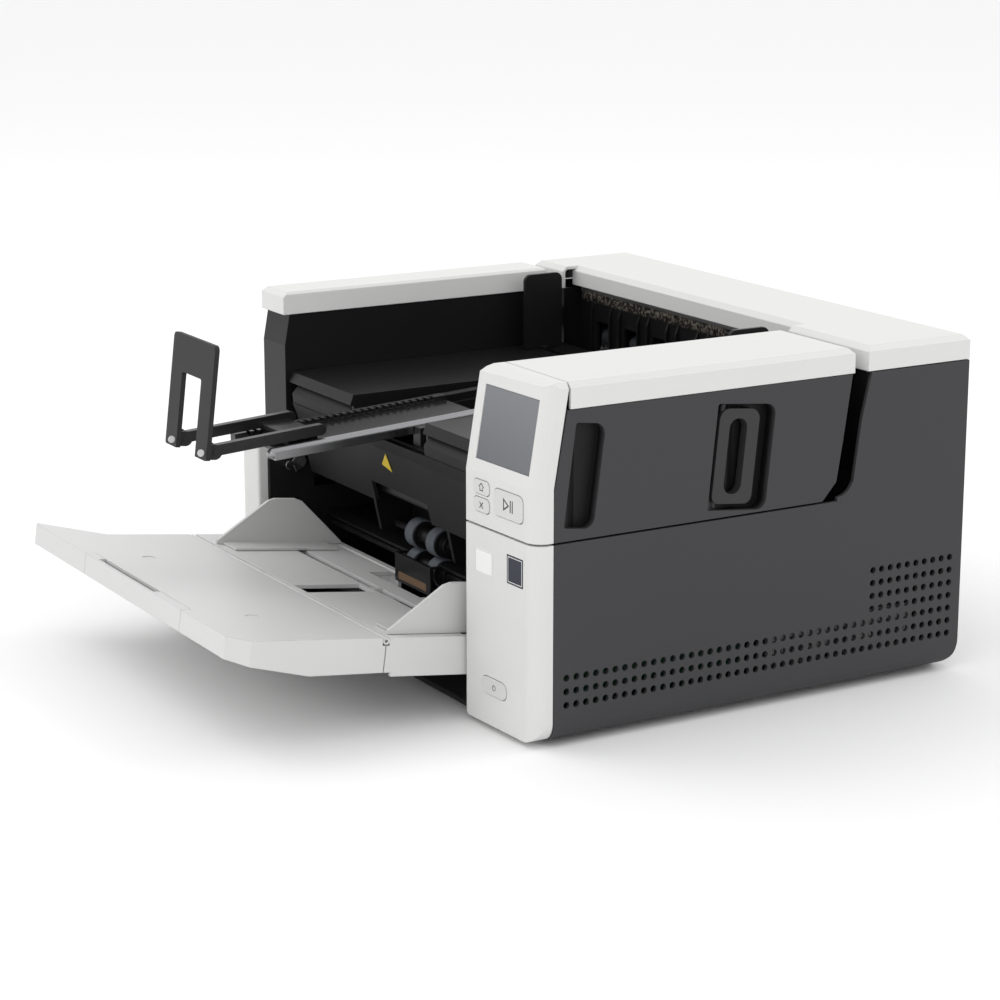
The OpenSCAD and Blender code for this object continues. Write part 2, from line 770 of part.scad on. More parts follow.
// Solid form of the control panel, shrunk by the inset: upright to the kink, then leaning back
module panel_form(inset) {
  rear = inset > 0 ? 1 : 0;
  intersection() {
    along_z(seam / 2 + inset, top_z + 1) column_plan(inset, 30);
    translate([0, front_y, kink_h]) rotate([-panel_lean, 0, 0]) translate([0, -front_y, 0])
      along_z(-60, 90) column_plan(inset, 40);
    // Side view: rear edge, and the bevels that run up to the cap
    along_x(-arm_w - 1, 1) polygon([[front_y - 1, 0], [front_y - 1, top_z - 8],
      [front_y + 11.5, top_z - 4.6 - inset], [-0.8, top_z - 1.6 - inset], [3.4, top_z - inset],
      [(top_z - kink_h) * tan(panel_lean) + rear, top_z - inset], [rear, kink_h], [rear, 0]]);
    // Front view: the same bevels as the cap behind
    along_y(front_y - 2, 20) cap_front(inset);
  }
}

// Front view of the control panel's top
module cap_front(inset) polygon([[-arm_w, 0], [-arm_w, top_z - 2 - inset], [-arm_w + 2, top_z - inset],
  [-cap_bevel, top_z - inset], [0, top_z - cap_bevel - inset], [0, 0]]);

module control_panel() color("whitesmoke") place() {
  difference() {
    panel_form(0);
    panel_form(wall);
    on_lean() along_y(-3, 10) translate([display_u - fit, display_v - fit])
      square([display_w + 2 * fit, display_h + 2 * fit]);
    on_face() along_y(-3, 10) {
      small_key(home_v, button_gap);
      small_key(cancel_v, button_gap);
      start_key(button_gap);
    }
  }
}

// Frame on the leaning face: origin on the kink at the left edge
module on_lean()
  translate([-arm_w, front_y, kink_h]) rotate([0, 0, face_turn]) rotate([-panel_lean, 0, 0]) children();

module small_key(v, grow) translate([10.5 - grow, v - 5 - grow])
  rounded([0, 0], [20 + 2 * grow, 10 + 2 * grow], [4, 4, 4, 4]);

module start_key(grow) translate([36.5 - grow, 12.4 - grow])
  rounded([0, 0], [36 + 2 * grow, 19 + 2 * grow], [5, 5, 5, 5]);

module display() color("slategray") place() on_lean() {
  along_y(0.5, 3.4) translate([display_u, display_v]) square([display_w, display_h]);
  along_y(3.4 - eps, 5) translate([display_u - 1, display_v - 3]) square([display_w + 2, display_h + 6]);
}

module home_button() color("white") place() on_face() along_y(-button_travel / 2, 5) small_key(home_v, 0);

module cancel_button() color("white") place() on_face() along_y(-button_travel / 2, 5) small_key(cancel_v, 0);

module start_button() color("white") place() on_face() along_y(-button_travel / 2, 5) start_key(0);

module handle_outline(grow) translate([handle_y, 11]) rotate(-6)
  rounded([-grow, -grow], [34 + grow, 68 + grow], [6, 6, 8, 8]);

// Pin line of the handle, leaning with its outline
module handle_pin(from, to, r) translate([-4.85, handle_y, 11]) rotate([-6, 0, 0]) translate([0, 3.6, from])
  cylinder(h = to - from, r = r);

module release_handle() color("#3a3a3c") place() {
  along_x(-8.5, -1.2) difference() {
    handle_outline(0);
    translate([handle_y, 11]) rotate(-6) rounded([9, 7], [24, 61], [7, 7, 7, 7]);
  }
  handle_pin(-2.8, 6, 2);
  handle_pin(62, 70.8, 2);
}

module latch_shaft() color("silver") place() {
  hook_y = latch_y + latch_r;
  rod_x(in_x0 + 2, in_x1 - 2, 31, 0, shaft_r);
  for (x = [in_x0 + 2.5, in_x1 - 6.5]) {
    along_x(x, x + 4) {
      translate([31, 0]) circle(7);
      polygon([[26, -5], [34, -6], [17, -33], [hook_y + 4.6, -36], [hook_y + 0.8, -27]]);
    }
  }
}

module cover_frame() color("#232325") place() {
  y1 = arm_end_y - 2;
  for (x = [in_x0 + 12, in_x1 - 16])
    along_x(x, x + 4) difference() {
      rounded([22, -20], [y1, deck_h - 8], [4, 4, 0, 0]);
      translate([31, 0]) circle(shaft_r + run_gap);
      rounded([60, -8], [126, 26], [6, 6, 6, 6]);
    }
  // Cross beams: over the feed module, over the camera and at the rear
  for (beam = [[46, -6], [134, 4], [236, 4]])
    block([in_x0 + 16 - eps, beam.x, beam.y], [in_x1 - 16 + eps, beam.x + 8, beam.y + 12]);
  // Tube that joins the hinge arms
  rod_x(hinge_arm_x[0] + 1, hinge_arm_x[1] + hinge_arm_w - 1, tube_y, tube_z, tube_r);
  for (x = hinge_arm_x)
    along_x(x, x + hinge_arm_w) difference() {
      union() {
        translate([pivot_y, pivot_z]) circle(8);
        translate([tube_y, tube_z]) circle(tube_r + 3);
        polygon([[pivot_y - 5, pivot_z - 6], [pivot_y - 3, pivot_z + 6], [pivot_y - 26, pivot_z - 8],
          [tube_y - 7, 52], [tube_y - 7, tube_z], [tube_y + 13, tube_z + 2]]);
      }
      translate([pivot_y, pivot_z]) circle(pivot_r + run_gap);
    }
}

// Slot in the rear of an arm for the hinge arm
module hinge_arm_room(x) {
  block([x - 0.8, arm_end_y - 22, tube_z - 12], [x + hinge_arm_w + 0.8, arm_end_y + 1, pivot_z]);
}

module left_wall_cover() color("#2c2c2e") place() {
  x1 = in_x0 - 0.5;
  difference() {
    along_x(left_x, x1) difference() {
      arm_outline(0);
      translate([-1, -1]) square([7, 200]);
    }
    intersection() {
      along_x(left_x + wall, x1 - wall) arm_outline(wall);
      block([left_x, 6 + wall, 0], [x1, rear_y, top_z]);
    }
    hinge_arm_room(hinge_arm_x[0]);
    rod_x(x1 - wall - 1, x1 + 1, tube_y, tube_z, tube_r + 0.5);
  }
}

module left_wall_cap() color("whitesmoke") place() {
  y1 = arm_end_y;
  difference() {
    cap_block(left_x, in_x0 + 0.5, 5, y1 + 2, 0, cap_bevel, 2, cap_bevel, cap_bevel);
    cap_block(left_x, in_x0 + 0.5, 5, y1 + 2, cap_wall, cap_bevel, 2, cap_bevel, cap_bevel);
  }
}

module output_deck() color("#1c1c1e") place() {
  x0 = in_x0 + 0.8;
  x1 = -arm_w - 0.6;
  y1 = rear_cap_y;
  c0 = mid_x - channel_w / 2;
  c1 = mid_x + channel_w / 2;
  trough = 22;
  difference() {
    union() {
      along_x(x0, x1) polygon([[deck_front_y, deck_h - 8], [deck_front_y + 3, deck_h], [y1, deck_h],
        [y1, deck_h - wall], [deck_front_y + 5, deck_h - wall], [deck_front_y + 2.5, deck_h - 9]]);
      block([c0 - wall, deck_front_y + 3, deck_h - trough - wall], [c1 + wall, 182, deck_h - wall + eps]);
    }
    block([c0, deck_front_y - 1, deck_h - trough], [c1, 179, deck_h + 1]);
    // Slot for the output guides
    block([in_x0 + 14, guide_y - 3.4, deck_h - 10], [c0 + 40, guide_y + 3.4, deck_h + 1]);
    block([c1 - 40, guide_y - 3.4, deck_h - 10], [-arm_w - 14, guide_y + 3.4, deck_h + 1]);
  }
  // Runners for the extension: a ledge under it and a fence beside it
  for (s = [-1, 1]) {
    side_x = mid_x + s * (extension_w / 2 + 4);
    runner(side_x - 5, side_x + 5, deck_h - trough, extension_t + fit);
    runner(side_x + s * 1.3 - 4.7 + fit, side_x + s * 1.3 + 4.7 - fit, deck_h - trough, 3);
  }
}

// Bar on the channel's floor whose top runs below the extension's top face
module runner(x0, x1, floor_z, below) {
  y0 = deck_front_y + 6;
  y1 = 168;
  along_x(x0, x1) polygon([[y0, floor_z - eps], [y0, slope_z + y0 * tan(extension_slope) - below],
    [y1, slope_z + y1 * tan(extension_slope) - below], [y1, floor_z - eps]]);
}

// Frame of the sloping extension: origin on its top face above y = 0
module on_slope() translate([mid_x, 0, slope_z]) rotate([extension_slope, 0, 0]) children();

module output_extension() color("#2a2a2c") place() on_slope() {
  y0 = -105;
  y1 = y0 + extension_len;
  h = extension_w / 2;
  difference() {
    union() {
      block([-h, y0, -extension_t], [-h + rail_w, y1, 0]);
      block([h - rail_w, y0 + 4, -extension_t], [h, y1, -rail_w / 2]);
      rod_y(y0 + 4, y1, h - rail_w / 2, -rail_w / 2, rail_w / 2);
      translate([h - rail_w / 2, y0 + 4, -rail_w / 2]) sphere(r = rail_w / 2);
      block([-h + rail_w - 1, y0 + 12, -7], [h - rail_w + 1, y1, -4.4]);
    }
    // Teeth along the left rail
    for (y = [y0 + 10:tooth_pitch:y1 - 10])
      block([-h + 3.2, y, -2.6], [-h + rail_w + 0.1, y + tooth_pitch / 2, 1]);
  }
}

module stop_carrier() color("#232325") place() {
  rod_r = 4;
  for (s = [-1, 1]) {
    x = mid_x + s * 25.5;
    along_x(x - 3, x + 3) difference() {
      pill([stop_y, stop_z], [-60, 43], rod_r);
      translate([stop_y, stop_z]) circle(1.8 + run_gap);
    }
  }
  block([mid_x - 24, -86, 38.4], [mid_x + 24, -60, 41.4]);
  on_slope() for (s = [-1, 1]) block([s * 16 - 5, -84, -4.4 + fit], [s * 16 + 5, -60, 2.6]);
}

// Frame of the end stop: origin on its pivot
module on_flag() translate([mid_x, stop_y, stop_z]) rotate([-flag_lean, 0, 0]) children();

module end_stop_flag() color("#2f2f31") place() on_flag() {
  h = flag_w / 2;
  t = 3.6;
  along_y(-5 - t, -5) difference() {
    rounded([-h, -6], [h, flag_h], [2, 2, 4, 4]);
    rounded([-window_w / 2, -8], [window_w / 2, flag_h - flag_head_h], [0, 0, 2, 2]);
  }
  // Cheeks round the carrier arms, and their pins
  for (s = [-1, 1]) {
    x = s * 25.5;
    for (c = [-1, 1]) along_x(x + c * 5.1 - 1.6, x + c * 5.1 + 1.6) {
      translate([-6, -5.5]) square([6, 11]);
      circle(5.5);
    }
    rod_x(x - 7.2, x + 7.2, 0, 0, 1.8);
  }
}

module front_fascia() color("#38383a") place() {
  x0 = in_x0 + 10;
  x1 = in_x1 - 10;
  y0 = deck_front_y - 1.4;
  difference() {
    union() {
      along_x(x0, x1) polygon([[y0 + 3, deck_h - 24.5], [y0, 22], [y0 + 4, 12], [y0 + 16, -36], [y0 + 19, -36],
        [y0 + 7, 13], [y0 + 6, deck_h - 25.6]]);
      along_x(x0, mid_x - channel_w / 2 - 4) fascia_upper(y0);
      along_x(mid_x + channel_w / 2 + 4, x1) fascia_upper(y0);
    }
    // Mouth round the feed rollers
    block([mid_x - 44, y0 - 2, -40], [mid_x + 44, y0 + 22, -20]);
  }
}

// Upper part of the fascia beside the channel
module fascia_upper(y0) polygon([[y0 + 6, deck_h - 9], [y0, 30], [y0 + 1, 21], [y0 + 4, 21], [y0 + 4, 30],
  [y0 + 8, deck_h - 9.5]]);

module feed_module() color("#202022") place() {
  difference() {
    along_x(mid_x - 60, mid_x + 60)
      polygon([[27, -32], [29.5, -6], [66, -6], [66, -50], [60, -64], [34, -64], [30, -46]]);
    along_x(mid_x - 56, mid_x + 56) polygon([[24, -40], [33, -10], [62, -10], [62, -70], [24, -70]]);
    rod_x(mid_x - 61, mid_x + 61, feed_y, feed_z, shaft_r + run_gap);
  }
}

module feed_roller() color("#8f98a3") place() {
  rod_x(mid_x - 62, mid_x + 62, feed_y, feed_z, shaft_r);
  for (s = [-1, 1]) {
    x = mid_x + s * tyre_spacing / 2;
    rod_x(x - tyre_w / 2, x + tyre_w / 2, feed_y, feed_z, tyre_r);
  }
}

module upper_camera() color("#303034") place() {
  difference() {
    along_x(in_x0 + 20, in_x1 - 20) rounded([112, nip_z + 6], [164, -24], [0, 0, 4, 4]);
    along_x(in_x0 + 23, in_x1 - 23) rounded([121, nip_z], [155, -30], [0, 0, 2, 2]);
  }
  block([in_x0 + 20, 132, -24 - eps], [in_x0 + 30, 144, 4]);
  block([in_x1 - 30, 132, -24 - eps], [in_x1 - 20, 144, 4]);
}

module upper_glass() color("lightblue", 0.5) place()
  block([in_x0 + 22, 118.4, nip_z + 2], [in_x1 - 22, 157.6, nip_z + 6]);

// Free roller on the cover that presses the sheet on a driven one
module idler(y) {
  r = 6;
  for (s = [-1, 1]) rod_x(mid_x + s * drive_x - 10, mid_x + s * drive_x + 10, y, nip_z + r + fit, r);
  rod_x(mid_x - 108, mid_x + 108, y, nip_z + r + fit, 2);
}

module front_idler() color("#8a8f96") place() idler(drive_y[0]);

module rear_idler() color("#8a8f96") place() idler(drive_y[1]);

module output_guide_left() color("#232325") place() {
  x = in_x0 + 19;
  along_x(x - 1.5, x + 1.5) rounded([guide_y - 18, deck_h + fit], [guide_y + 18, top_z - 1], [2, 2, 6, 6]);
  block([x - 1.5, guide_y - 3, deck_h - 8], [x + 6, guide_y + 3, deck_h + fit + 2]);
}

module output_guide_right() color("#232325") place() {
  x = in_x1 - 19;
  along_x(x - 1.5, x + 1.5) rounded([guide_y - 18, deck_h + fit], [guide_y + 18, top_z - 1], [2, 2, 6, 6]);
  block([x - 6, guide_y - 3, deck_h - 8], [x + 1.5, guide_y + 3, deck_h + fit + 2]);
}

// ---------------------------------------------------------------- input tray

// Frame on the tray: origin on the fold line, y to the rear along the surface
module on_tray() translate([0, fold_y, fold_z]) rotate([-tray_slope, 0, 0]) children();

// Plan of the front tray: chamfered right corner, left edge flaring to the body's side
module tray_plan(inset) {
  flare_x = left_x + 0.5;
  polygon([[tray_x0 + inset, 5], [tray_x0 + inset, -tray_len + 44 + inset / 2],
    [flare_x + inset * 1.4, -tray_len + 2 + inset],
    [flare_x + 2 + inset, -tray_len + inset], [tray_x1 - 15 - inset / 2, -tray_len + inset],
    [tray_x1 - inset, -tray_len + 13 + inset / 2], [tray_x1 - inset, 5]]);
}

// Side view of the front tray, deeper behind its middle
module tray_side(v1) polygon([[-tray_len - 1, 1], [-tray_len - 1, -front_lip_h], [-tray_len, -front_lip_h],
  [-58, -skirt_h - 1], [v1, -skirt_h], [v1, 1]]);

module input_tray() color("whitesmoke") place() on_tray() {
  t = 2.6;
  difference() {
    intersection() {
      along_z(-60, 0) tray_plan(0);
      along_x(left_x, 0) tray_side(-0.4);
    }
    intersection() {
      along_z(-60, -t) tray_plan(t);
      block([left_x, -tray_len, -60], [0, 6, 0]);
    }
    block([left_x - 1, -hinge_r - fit, -2 * hinge_r - 0.6], [0, 9, 1]);
    // Bay of the pull-out extension
    block([mid_x - 100, -tray_len - 1, -front_lip_h - 8], [mid_x + 75, -tray_len + 8, 1]);
    // Oval marks on the surface
    for (x = [mid_x - 84, mid_x + 97]) translate([x, -72, -0.5]) cylinder(h = 2, r = 5);
  }
  knuckles([1, 3], -1);
}

// Hinge knuckles along the fold line, side -1 to the front and 1 to the rear
module knuckles(which, side) {
  w = (tray_x1 - tray_x0) / 5;
  for (i = which) {
    x0 = tray_x0 + i * w + fit;
    x1 = x0 + w - 2 * fit;
    difference() {
      union() {
        rod_x(x0, x1, 0, -hinge_r, hinge_r - 0.05);
        translate([x0, side > 0 ? 0 : -hinge_r - 1, -hinge_r - 1.4]) cube([x1 - x0, hinge_r + 1, 2.6]);
      }
      rod_x(x0 - 1, x1 + 1, 0, -hinge_r, hinge_pin_r + run_gap);
    }
  }
}

module tray_pin() color("silver") place() on_tray() rod_x(tray_x0 + 4, tray_x1 - 4, 0, -hinge_r, hinge_pin_r);

module tray_extension() color("whitesmoke") place() on_tray() {
  x0 = mid_x - 100 + fit;
  x1 = mid_x + 75 - fit;
  difference() {
    union() {
      block([x0, -tray_len, -front_lip_h], [x1, -tray_len + 7.6, 0]);
      block([x0 + 4, -tray_len + 7.6 - eps, -9], [x1 - 4, -tray_len + 90, -6.5]);
    }
    // Finger recess
    block([mid_x - 80, -tray_len + 2.5, -6], [mid_x + 22, -tray_len + 20, 1]);
  }
}

module lift_table() color("whitesmoke") place() on_tray() {
  t = 3;
  v1 = table_len;
  difference() {
    block([tray_x0, 0.4, -skirt_h - 3], [tray_x1, v1, 0]);
    block([tray_x0 + t, -2, -skirt_h - 9], [tray_x1 - t, v1 - t, -t]);
    block([tray_x0 - 1, -9, -2 * hinge_r - 0.6], [tray_x1 + 1, hinge_r + fit, 1]);
    block([tray_x0 - 1, -1, -skirt_h - 4], [tray_x1 + 1, 6, -skirt_h]);
    // Notch for the feed and separation rollers
    block([mid_x - tyre_room - 4.5, table_len - 30, -skirt_h - 9], [mid_x + tyre_room + 26, v1 + 1, 1]);
    // Slots for the side guides
    block([tray_x0 + 8, guide_v - 4, -5], [mid_x + 18, guide_v + 4, 1]);
    block([mid_x + 24, guide_v - 4, -5], [tray_x1 - 5, guide_v + 4, 1]);
    // Centre slot of the table
    block([mid_x + 8, 5, -5], [mid_x + 31, 60, 1]);
    // Groove along the rear edge
    block([tray_x0 + 8, v1 - 11, -1], [tray_x1 - 8, v1 - 6, 1]);
  }
  knuckles([0, 2, 4], 1);
}

module guide_outline()
  polygon([[5, 0.4], [5, 3], [46, guide_h - 2], [52, guide_h], [70, guide_h], [76, guide_h - 2], [114, 3],
    [116, 0.4]]);

// Side guide: upright fin, foot on the table and a tongue through the slot
module input_guide(x, inward) {
  along_x(min(x, x - inward * guide_t), max(x, x - inward * guide_t)) guide_outline();
  block([min(x - eps, x + inward * 24), 10, 0.4], [max(x + eps, x + inward * 24), 100, 2]);
  block([min(x + inward * 3, x + inward * 13), guide_v - 3.6, -6],
    [max(x + inward * 3, x + inward * 13), guide_v + 3.6, 0.5]);
}

module input_guide_left() color("gainsboro") place() on_tray() input_guide(mid_x - sheet_w / 2 + 25, 1);

module input_guide_right() color("gainsboro") place() on_tray() input_guide(mid_x + sheet_w / 2, -1);

// ---------------------------------------------------------------- assembly

base_pan();
rubber_feet();
right_side_panel();
left_side_panel();
right_front_column();
left_front_column();
rear_panel();
rear_top_cap();
exit_wall();
static_brush();
rear_inner_cover();
side_plates();
latch_pins();
lower_guide();
lower_camera();
lower_glass();
separation_roller();
front_drive_roller();
rear_drive_roller();
exit_roller();
drive_belt();
drive_motor();
power_supply();
main_board();
power_inlet();
data_ports();
power_button();
hinge_brackets();
cover_frame();
right_arm_cover();
right_arm_liner();
right_arm_cap();
control_panel();
display();
home_button();
cancel_button();
start_button();
release_handle();
latch_shaft();
left_wall_cover();
left_wall_cap();
output_deck();
front_fascia();
feed_module();
feed_roller();
upper_camera();
upper_glass();
front_idler();
rear_idler();
output_guide_left();
output_guide_right();
output_extension();
stop_carrier();
end_stop_flag();
lift_table();
input_tray();
tray_pin();
tray_extension();
input_guide_left();
input_guide_right();
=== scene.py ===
import math

import bmesh
import bpy
from mathutils import Matrix, Vector


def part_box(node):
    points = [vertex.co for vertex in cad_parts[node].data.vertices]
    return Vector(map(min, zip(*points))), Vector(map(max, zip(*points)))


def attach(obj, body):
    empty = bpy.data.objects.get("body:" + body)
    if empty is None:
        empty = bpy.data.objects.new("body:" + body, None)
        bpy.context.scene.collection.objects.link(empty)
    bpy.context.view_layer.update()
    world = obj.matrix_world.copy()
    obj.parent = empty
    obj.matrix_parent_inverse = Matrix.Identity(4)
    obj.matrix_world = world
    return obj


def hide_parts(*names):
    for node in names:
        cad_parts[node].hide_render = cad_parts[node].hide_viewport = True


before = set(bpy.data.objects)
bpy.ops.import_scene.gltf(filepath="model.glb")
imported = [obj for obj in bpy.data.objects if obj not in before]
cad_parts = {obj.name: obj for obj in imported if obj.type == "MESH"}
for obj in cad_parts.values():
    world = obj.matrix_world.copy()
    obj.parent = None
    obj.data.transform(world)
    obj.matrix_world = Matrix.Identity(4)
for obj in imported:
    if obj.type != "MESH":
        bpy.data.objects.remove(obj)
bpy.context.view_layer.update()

# ---------------------------------------------------------------- camera
# A short telephoto lens, a little above the machine and to the right of its front, so that the
# control column, the long right side and the tray all show.
camera = bpy.data.objects.new("camera", bpy.data.cameras.new("camera"))
bpy.context.scene.collection.objects.link(camera)
camera.data.lens = 96.2
camera.data.sensor_width = 36
camera.data.clip_end = 100
camera_azimuth, camera_elevation = math.radians(59.36), math.radians(14.15)
camera_back = Vector((
    math.sin(camera_azimuth) * math.cos(camera_elevation),
    -math.cos(camera_azimuth) * math.cos(camera_elevation),
    math.sin(camera_elevation),
))
camera.location = (1.7092, -0.9988, 0.6163)
camera.rotation_euler = (-camera_back).to_track_quat("-Z", "Y").to_euler()
bpy.context.scene.camera = camera

# ---------------------------------------------------------------- floor and studio light
# A seamless pale floor, an even white surround and three large soft lamps: one high on the
# left, one in front for the tray and the column, and one behind for the edges of the caps.
floor_mesh = bpy.data.meshes.new("floor")
floor_form = bmesh.new()
bmesh.ops.create_grid(floor_form, x_segments=1, y_segments=1, size=30)
floor_form.to_mesh(floor_mesh)
floor_form.free()
floor = bpy.data.objects.new("floor", floor_mesh)
bpy.context.scene.collection.objects.link(floor)
floor_paper = bpy.data.materials.new("floor_paper")
floor_paper.use_nodes = True
floor_shader = floor_paper.node_tree.nodes["Principled BSDF"]
floor_shader.inputs["Base Color"].default_value = (0.93, 0.93, 0.93, 1)
floor_shader.inputs["Roughness"].default_value = 0.9
floor_mesh.materials.append(floor_paper)

studio = bpy.data.worlds.new("studio")
studio.use_nodes = True
studio.node_tree.nodes["Background"].inputs["Color"].default_value = (1, 1, 1, 1)
studio.node_tree.nodes["Background"].inputs["Strength"].default_value = 1.0
bpy.context.scene.world = studio
bpy.context.scene.view_settings.view_transform = "Standard"

for lamp_name, place, aim, size, power in (
    ("lamp_left", (-1.6, -1.2, 2.4), (0, 0, 0.1), 1.8, 14),
    ("lamp_front", (1.6, -2.2, 1.3), (0, -0.1, 0.1), 1.4, 5),
    ("lamp_rear", (0.6, 2.2, 2.2), (0, 0.1, 0.2), 1.6, 12),
):
    lamp = bpy.data.objects.new(lamp_name, bpy.data.lights.new(lamp_name, "AREA"))
    bpy.context.scene.collection.objects.link(lamp)
    lamp.data.shape = "DISK"
    lamp.data.size = size
    lamp.data.energy = power
    lamp.location = place
    lamp.rotation_euler = (Vector(aim) - Vector(place)).to_track_quat("-Z", "Y").to_euler()

# ---------------------------------------------------------------- side panels and rear panel
# Two injection moulded side panels and the rear panel close the base. They are charcoal ABS
# with a fine spark eroded texture that is matt, with a highlight painted along the edges.


def moulded_surface():
    """Node group of a moulded plastic skin: colour, roughness and normal that vary over it."""
    group = bpy.data.node_groups.new("moulded_surface", "ShaderNodeTree")
    face = group.interface
    for label, kind, value in (
        ("Colour", "NodeSocketColor", (0.5, 0.5, 0.5, 1)),
        ("Edge Colour", "NodeSocketColor", (0.6, 0.6, 0.6, 1)),
        ("Edge Highlight", "NodeSocketFloat", 0.3),
        ("Edge Radius", "NodeSocketFloat", 0.0006),
        ("Roughness", "NodeSocketFloat", 0.5),
        ("Grain Scale", "NodeSocketFloat", 1500.0),
        ("Grain Depth", "NodeSocketFloat", 0.15),
        ("Mottle", "NodeSocketFloat", 0.04),
    ):
        face.new_socket(label, in_out="INPUT", socket_type=kind).default_value = value
    face.new_socket("Colour", in_out="OUTPUT", socket_type="NodeSocketColor")
    face.new_socket("Roughness", in_out="OUTPUT", socket_type="NodeSocketFloat")
    face.new_socket("Normal", in_out="OUTPUT", socket_type="NodeSocketVector")
    nodes, link = group.nodes, group.links.new
    given, out = nodes.new("NodeGroupInput"), nodes.new("NodeGroupOutput")
    place = nodes.new("ShaderNodeTexCoord")

    grain = nodes.new("ShaderNodeTexNoise")
    grain.inputs["Detail"].default_value = 3
    link(place.outputs["Object"], grain.inputs["Vector"])
    link(given.outputs["Grain Scale"], grain.inputs["Scale"])
    cloud = nodes.new("ShaderNodeTexNoise")
    cloud.inputs["Scale"].default_value = 14
    cloud.inputs["Detail"].default_value = 5
    link(place.outputs["Object"], cloud.inputs["Vector"])

    # Rounded edges, and a mask of where they are
    soft = nodes.new("ShaderNodeBevel")
    soft.samples = 4
    link(given.outputs["Edge Radius"], soft.inputs["Radius"])
    flat = nodes.new("ShaderNodeNewGeometry")
    along = nodes.new("ShaderNodeVectorMath")
    along.operation = "DOT_PRODUCT"
    link(soft.outputs["Normal"], along.inputs[0])
    link(flat.outputs["Normal"], along.inputs[1])
    edge = nodes.new("ShaderNodeMapRange")
    edge.inputs["From Min"].default_value = 0.99
    edge.inputs["From Max"].default_value = 0.8
    link(along.outputs["Value"], edge.inputs["Value"])
    # Painted highlight: rounded edges get the lighter edge colour, broken into cloudy patches
    patchy_edge_highlight = nodes.new("ShaderNodeMath")
    patchy_edge_highlight.operation = "MULTIPLY"
    link(edge.outputs["Result"], patchy_edge_highlight.inputs[0])
    link(cloud.outputs["Fac"], patchy_edge_highlight.inputs[1])
    edge_highlight_amount = nodes.new("ShaderNodeMath")
    edge_highlight_amount.operation = "MULTIPLY"
    link(patchy_edge_highlight.outputs["Value"], edge_highlight_amount.inputs[0])
    link(given.outputs["Edge Highlight"], edge_highlight_amount.inputs[1])

    # Colour: faint random clouds of tone, then a highlight painted along the rounded edges in
    # patches
    shade = nodes.new("ShaderNodeMath")
    shade.operation = "MULTIPLY_ADD"
    centred = nodes.new("ShaderNodeMath")
    centred.operation = "SUBTRACT"
    centred.inputs[1].default_value = 0.5
    link(cloud.outputs["Fac"], centred.inputs[0])
    link(centred.outputs["Value"], shade.inputs[0])
    link(given.outputs["Mottle"], shade.inputs[1])
    shade.inputs[2].default_value = 1
    toned = nodes.new("ShaderNodeVectorMath")
    toned.operation = "SCALE"
    link(given.outputs["Colour"], toned.inputs[0])
    link(shade.outputs["Value"], toned.inputs["Scale"])
    tint = nodes.new("ShaderNodeMix")
    tint.data_type = "RGBA"
    link(edge_highlight_amount.outputs["Value"], tint.inputs["Factor"])
    link(toned.outputs["Vector"], tint.inputs["A"])
    link(given.outputs["Edge Colour"], tint.inputs["B"])
    link(tint.outputs["Result"], out.inputs["Colour"])

    # Roughness: handled areas a little smoother than the rest
    rough = nodes.new("ShaderNodeMath")
    rough.operation = "MULTIPLY_ADD"
    rough.inputs[1].default_value = 0.14
    link(centred.outputs["Value"], rough.inputs[0])
    link(given.outputs["Roughness"], rough.inputs[2])
    link(rough.outputs["Value"], out.inputs["Roughness"])

    texture = nodes.new("ShaderNodeBump")
    texture.inputs["Distance"].default_value = 0.00012
    link(given.outputs["Grain Depth"], texture.inputs["Strength"])
    link(grain.outputs["Fac"], texture.inputs["Height"])
    link(soft.outputs["Normal"], texture.inputs["Normal"])
    link(texture.outputs["Normal"], out.inputs["Normal"])
    return group


skin = moulded_surface()


def moulded(name, colour, edge, roughness, grain_depth=0.15, edge_highlight=0.3, radius=0.0006,
        grain=1500, gloss=0.3):
    """Material of one moulded finish."""
    material = bpy.data.materials.new(name)
    material.use_nodes = True
    shader = material.node_tree.nodes["Principled BSDF"]
    effect = material.node_tree.nodes.new("ShaderNodeGroup")
    effect.node_tree = skin
    effect.inputs["Colour"].default_value = (*colour, 1)
    effect.inputs["Edge Colour"].default_value = (*edge, 1)
    effect.inputs["Edge Highlight"].default_value = edge_highlight
    effect.inputs["Edge Radius"].default_value = radius
    effect.inputs["Roughness"].default_value = roughness
    effect.inputs["Grain Scale"].default_value = grain
    effect.inputs["Grain Depth"].default_value = grain_depth
    shader.inputs["Specular IOR Level"].default_value = gloss
    for output, socket in (
        ("Colour", "Base Color"),
        ("Roughness", "Roughness"),
        ("Normal", "Normal"),
    ):
        material.node_tree.links.new(effect.outputs[output], shader.inputs[socket])
    return material


def finish(material, *names):
    """Give carried-over nodes their material."""
    for name in names:
        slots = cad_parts[name].data.materials
        slots.clear()
        slots.append(material)


charcoal_skin = moulded("charcoal_skin", (0.044, 0.044, 0.047), (0.1, 0.1, 0.1), 0.55, 0.3)
finish(charcoal_skin, "right_side_panel", "left_side_panel", "rear_panel")

# ---------------------------------------------------------------- base pan and feet
# The pan is the moulded floor of the machine; four soft rubber discs are pressed into it and
# keep it a few millimetres off the desk. The drive belt is of the same rubber.
pan_plastic = moulded("pan_plastic", (0.015, 0.015, 0.016), (0.03, 0.03, 0.03), 0.6, 0.3,
    gloss=0.15)
finish(pan_plastic, "base_pan")
foot_rubber = moulded("foot_rubber", (0.018, 0.018, 0.018), (0.05, 0.05, 0.05), 0.8, 0.5, grain=900)
finish(foot_rubber, "rubber_feet", "drive_belt")

# ---------------------------------------------------------------- front columns
# White moulded columns stand proud of the side panels, with a fine matt texture. The right one
# carries the power button and two plain labels.
white_skin = moulded("white_skin", (0.69, 0.69, 0.68), (0.8, 0.8, 0.79), 0.42, 0.1, radius=0.0009)
finish(white_skin, "right_front_column", "left_front_column")

column_low, column_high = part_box("right_front_column")
face_turn = math.radians(2.2)
face_corner = Vector((column_low.x, column_low.y, 0))


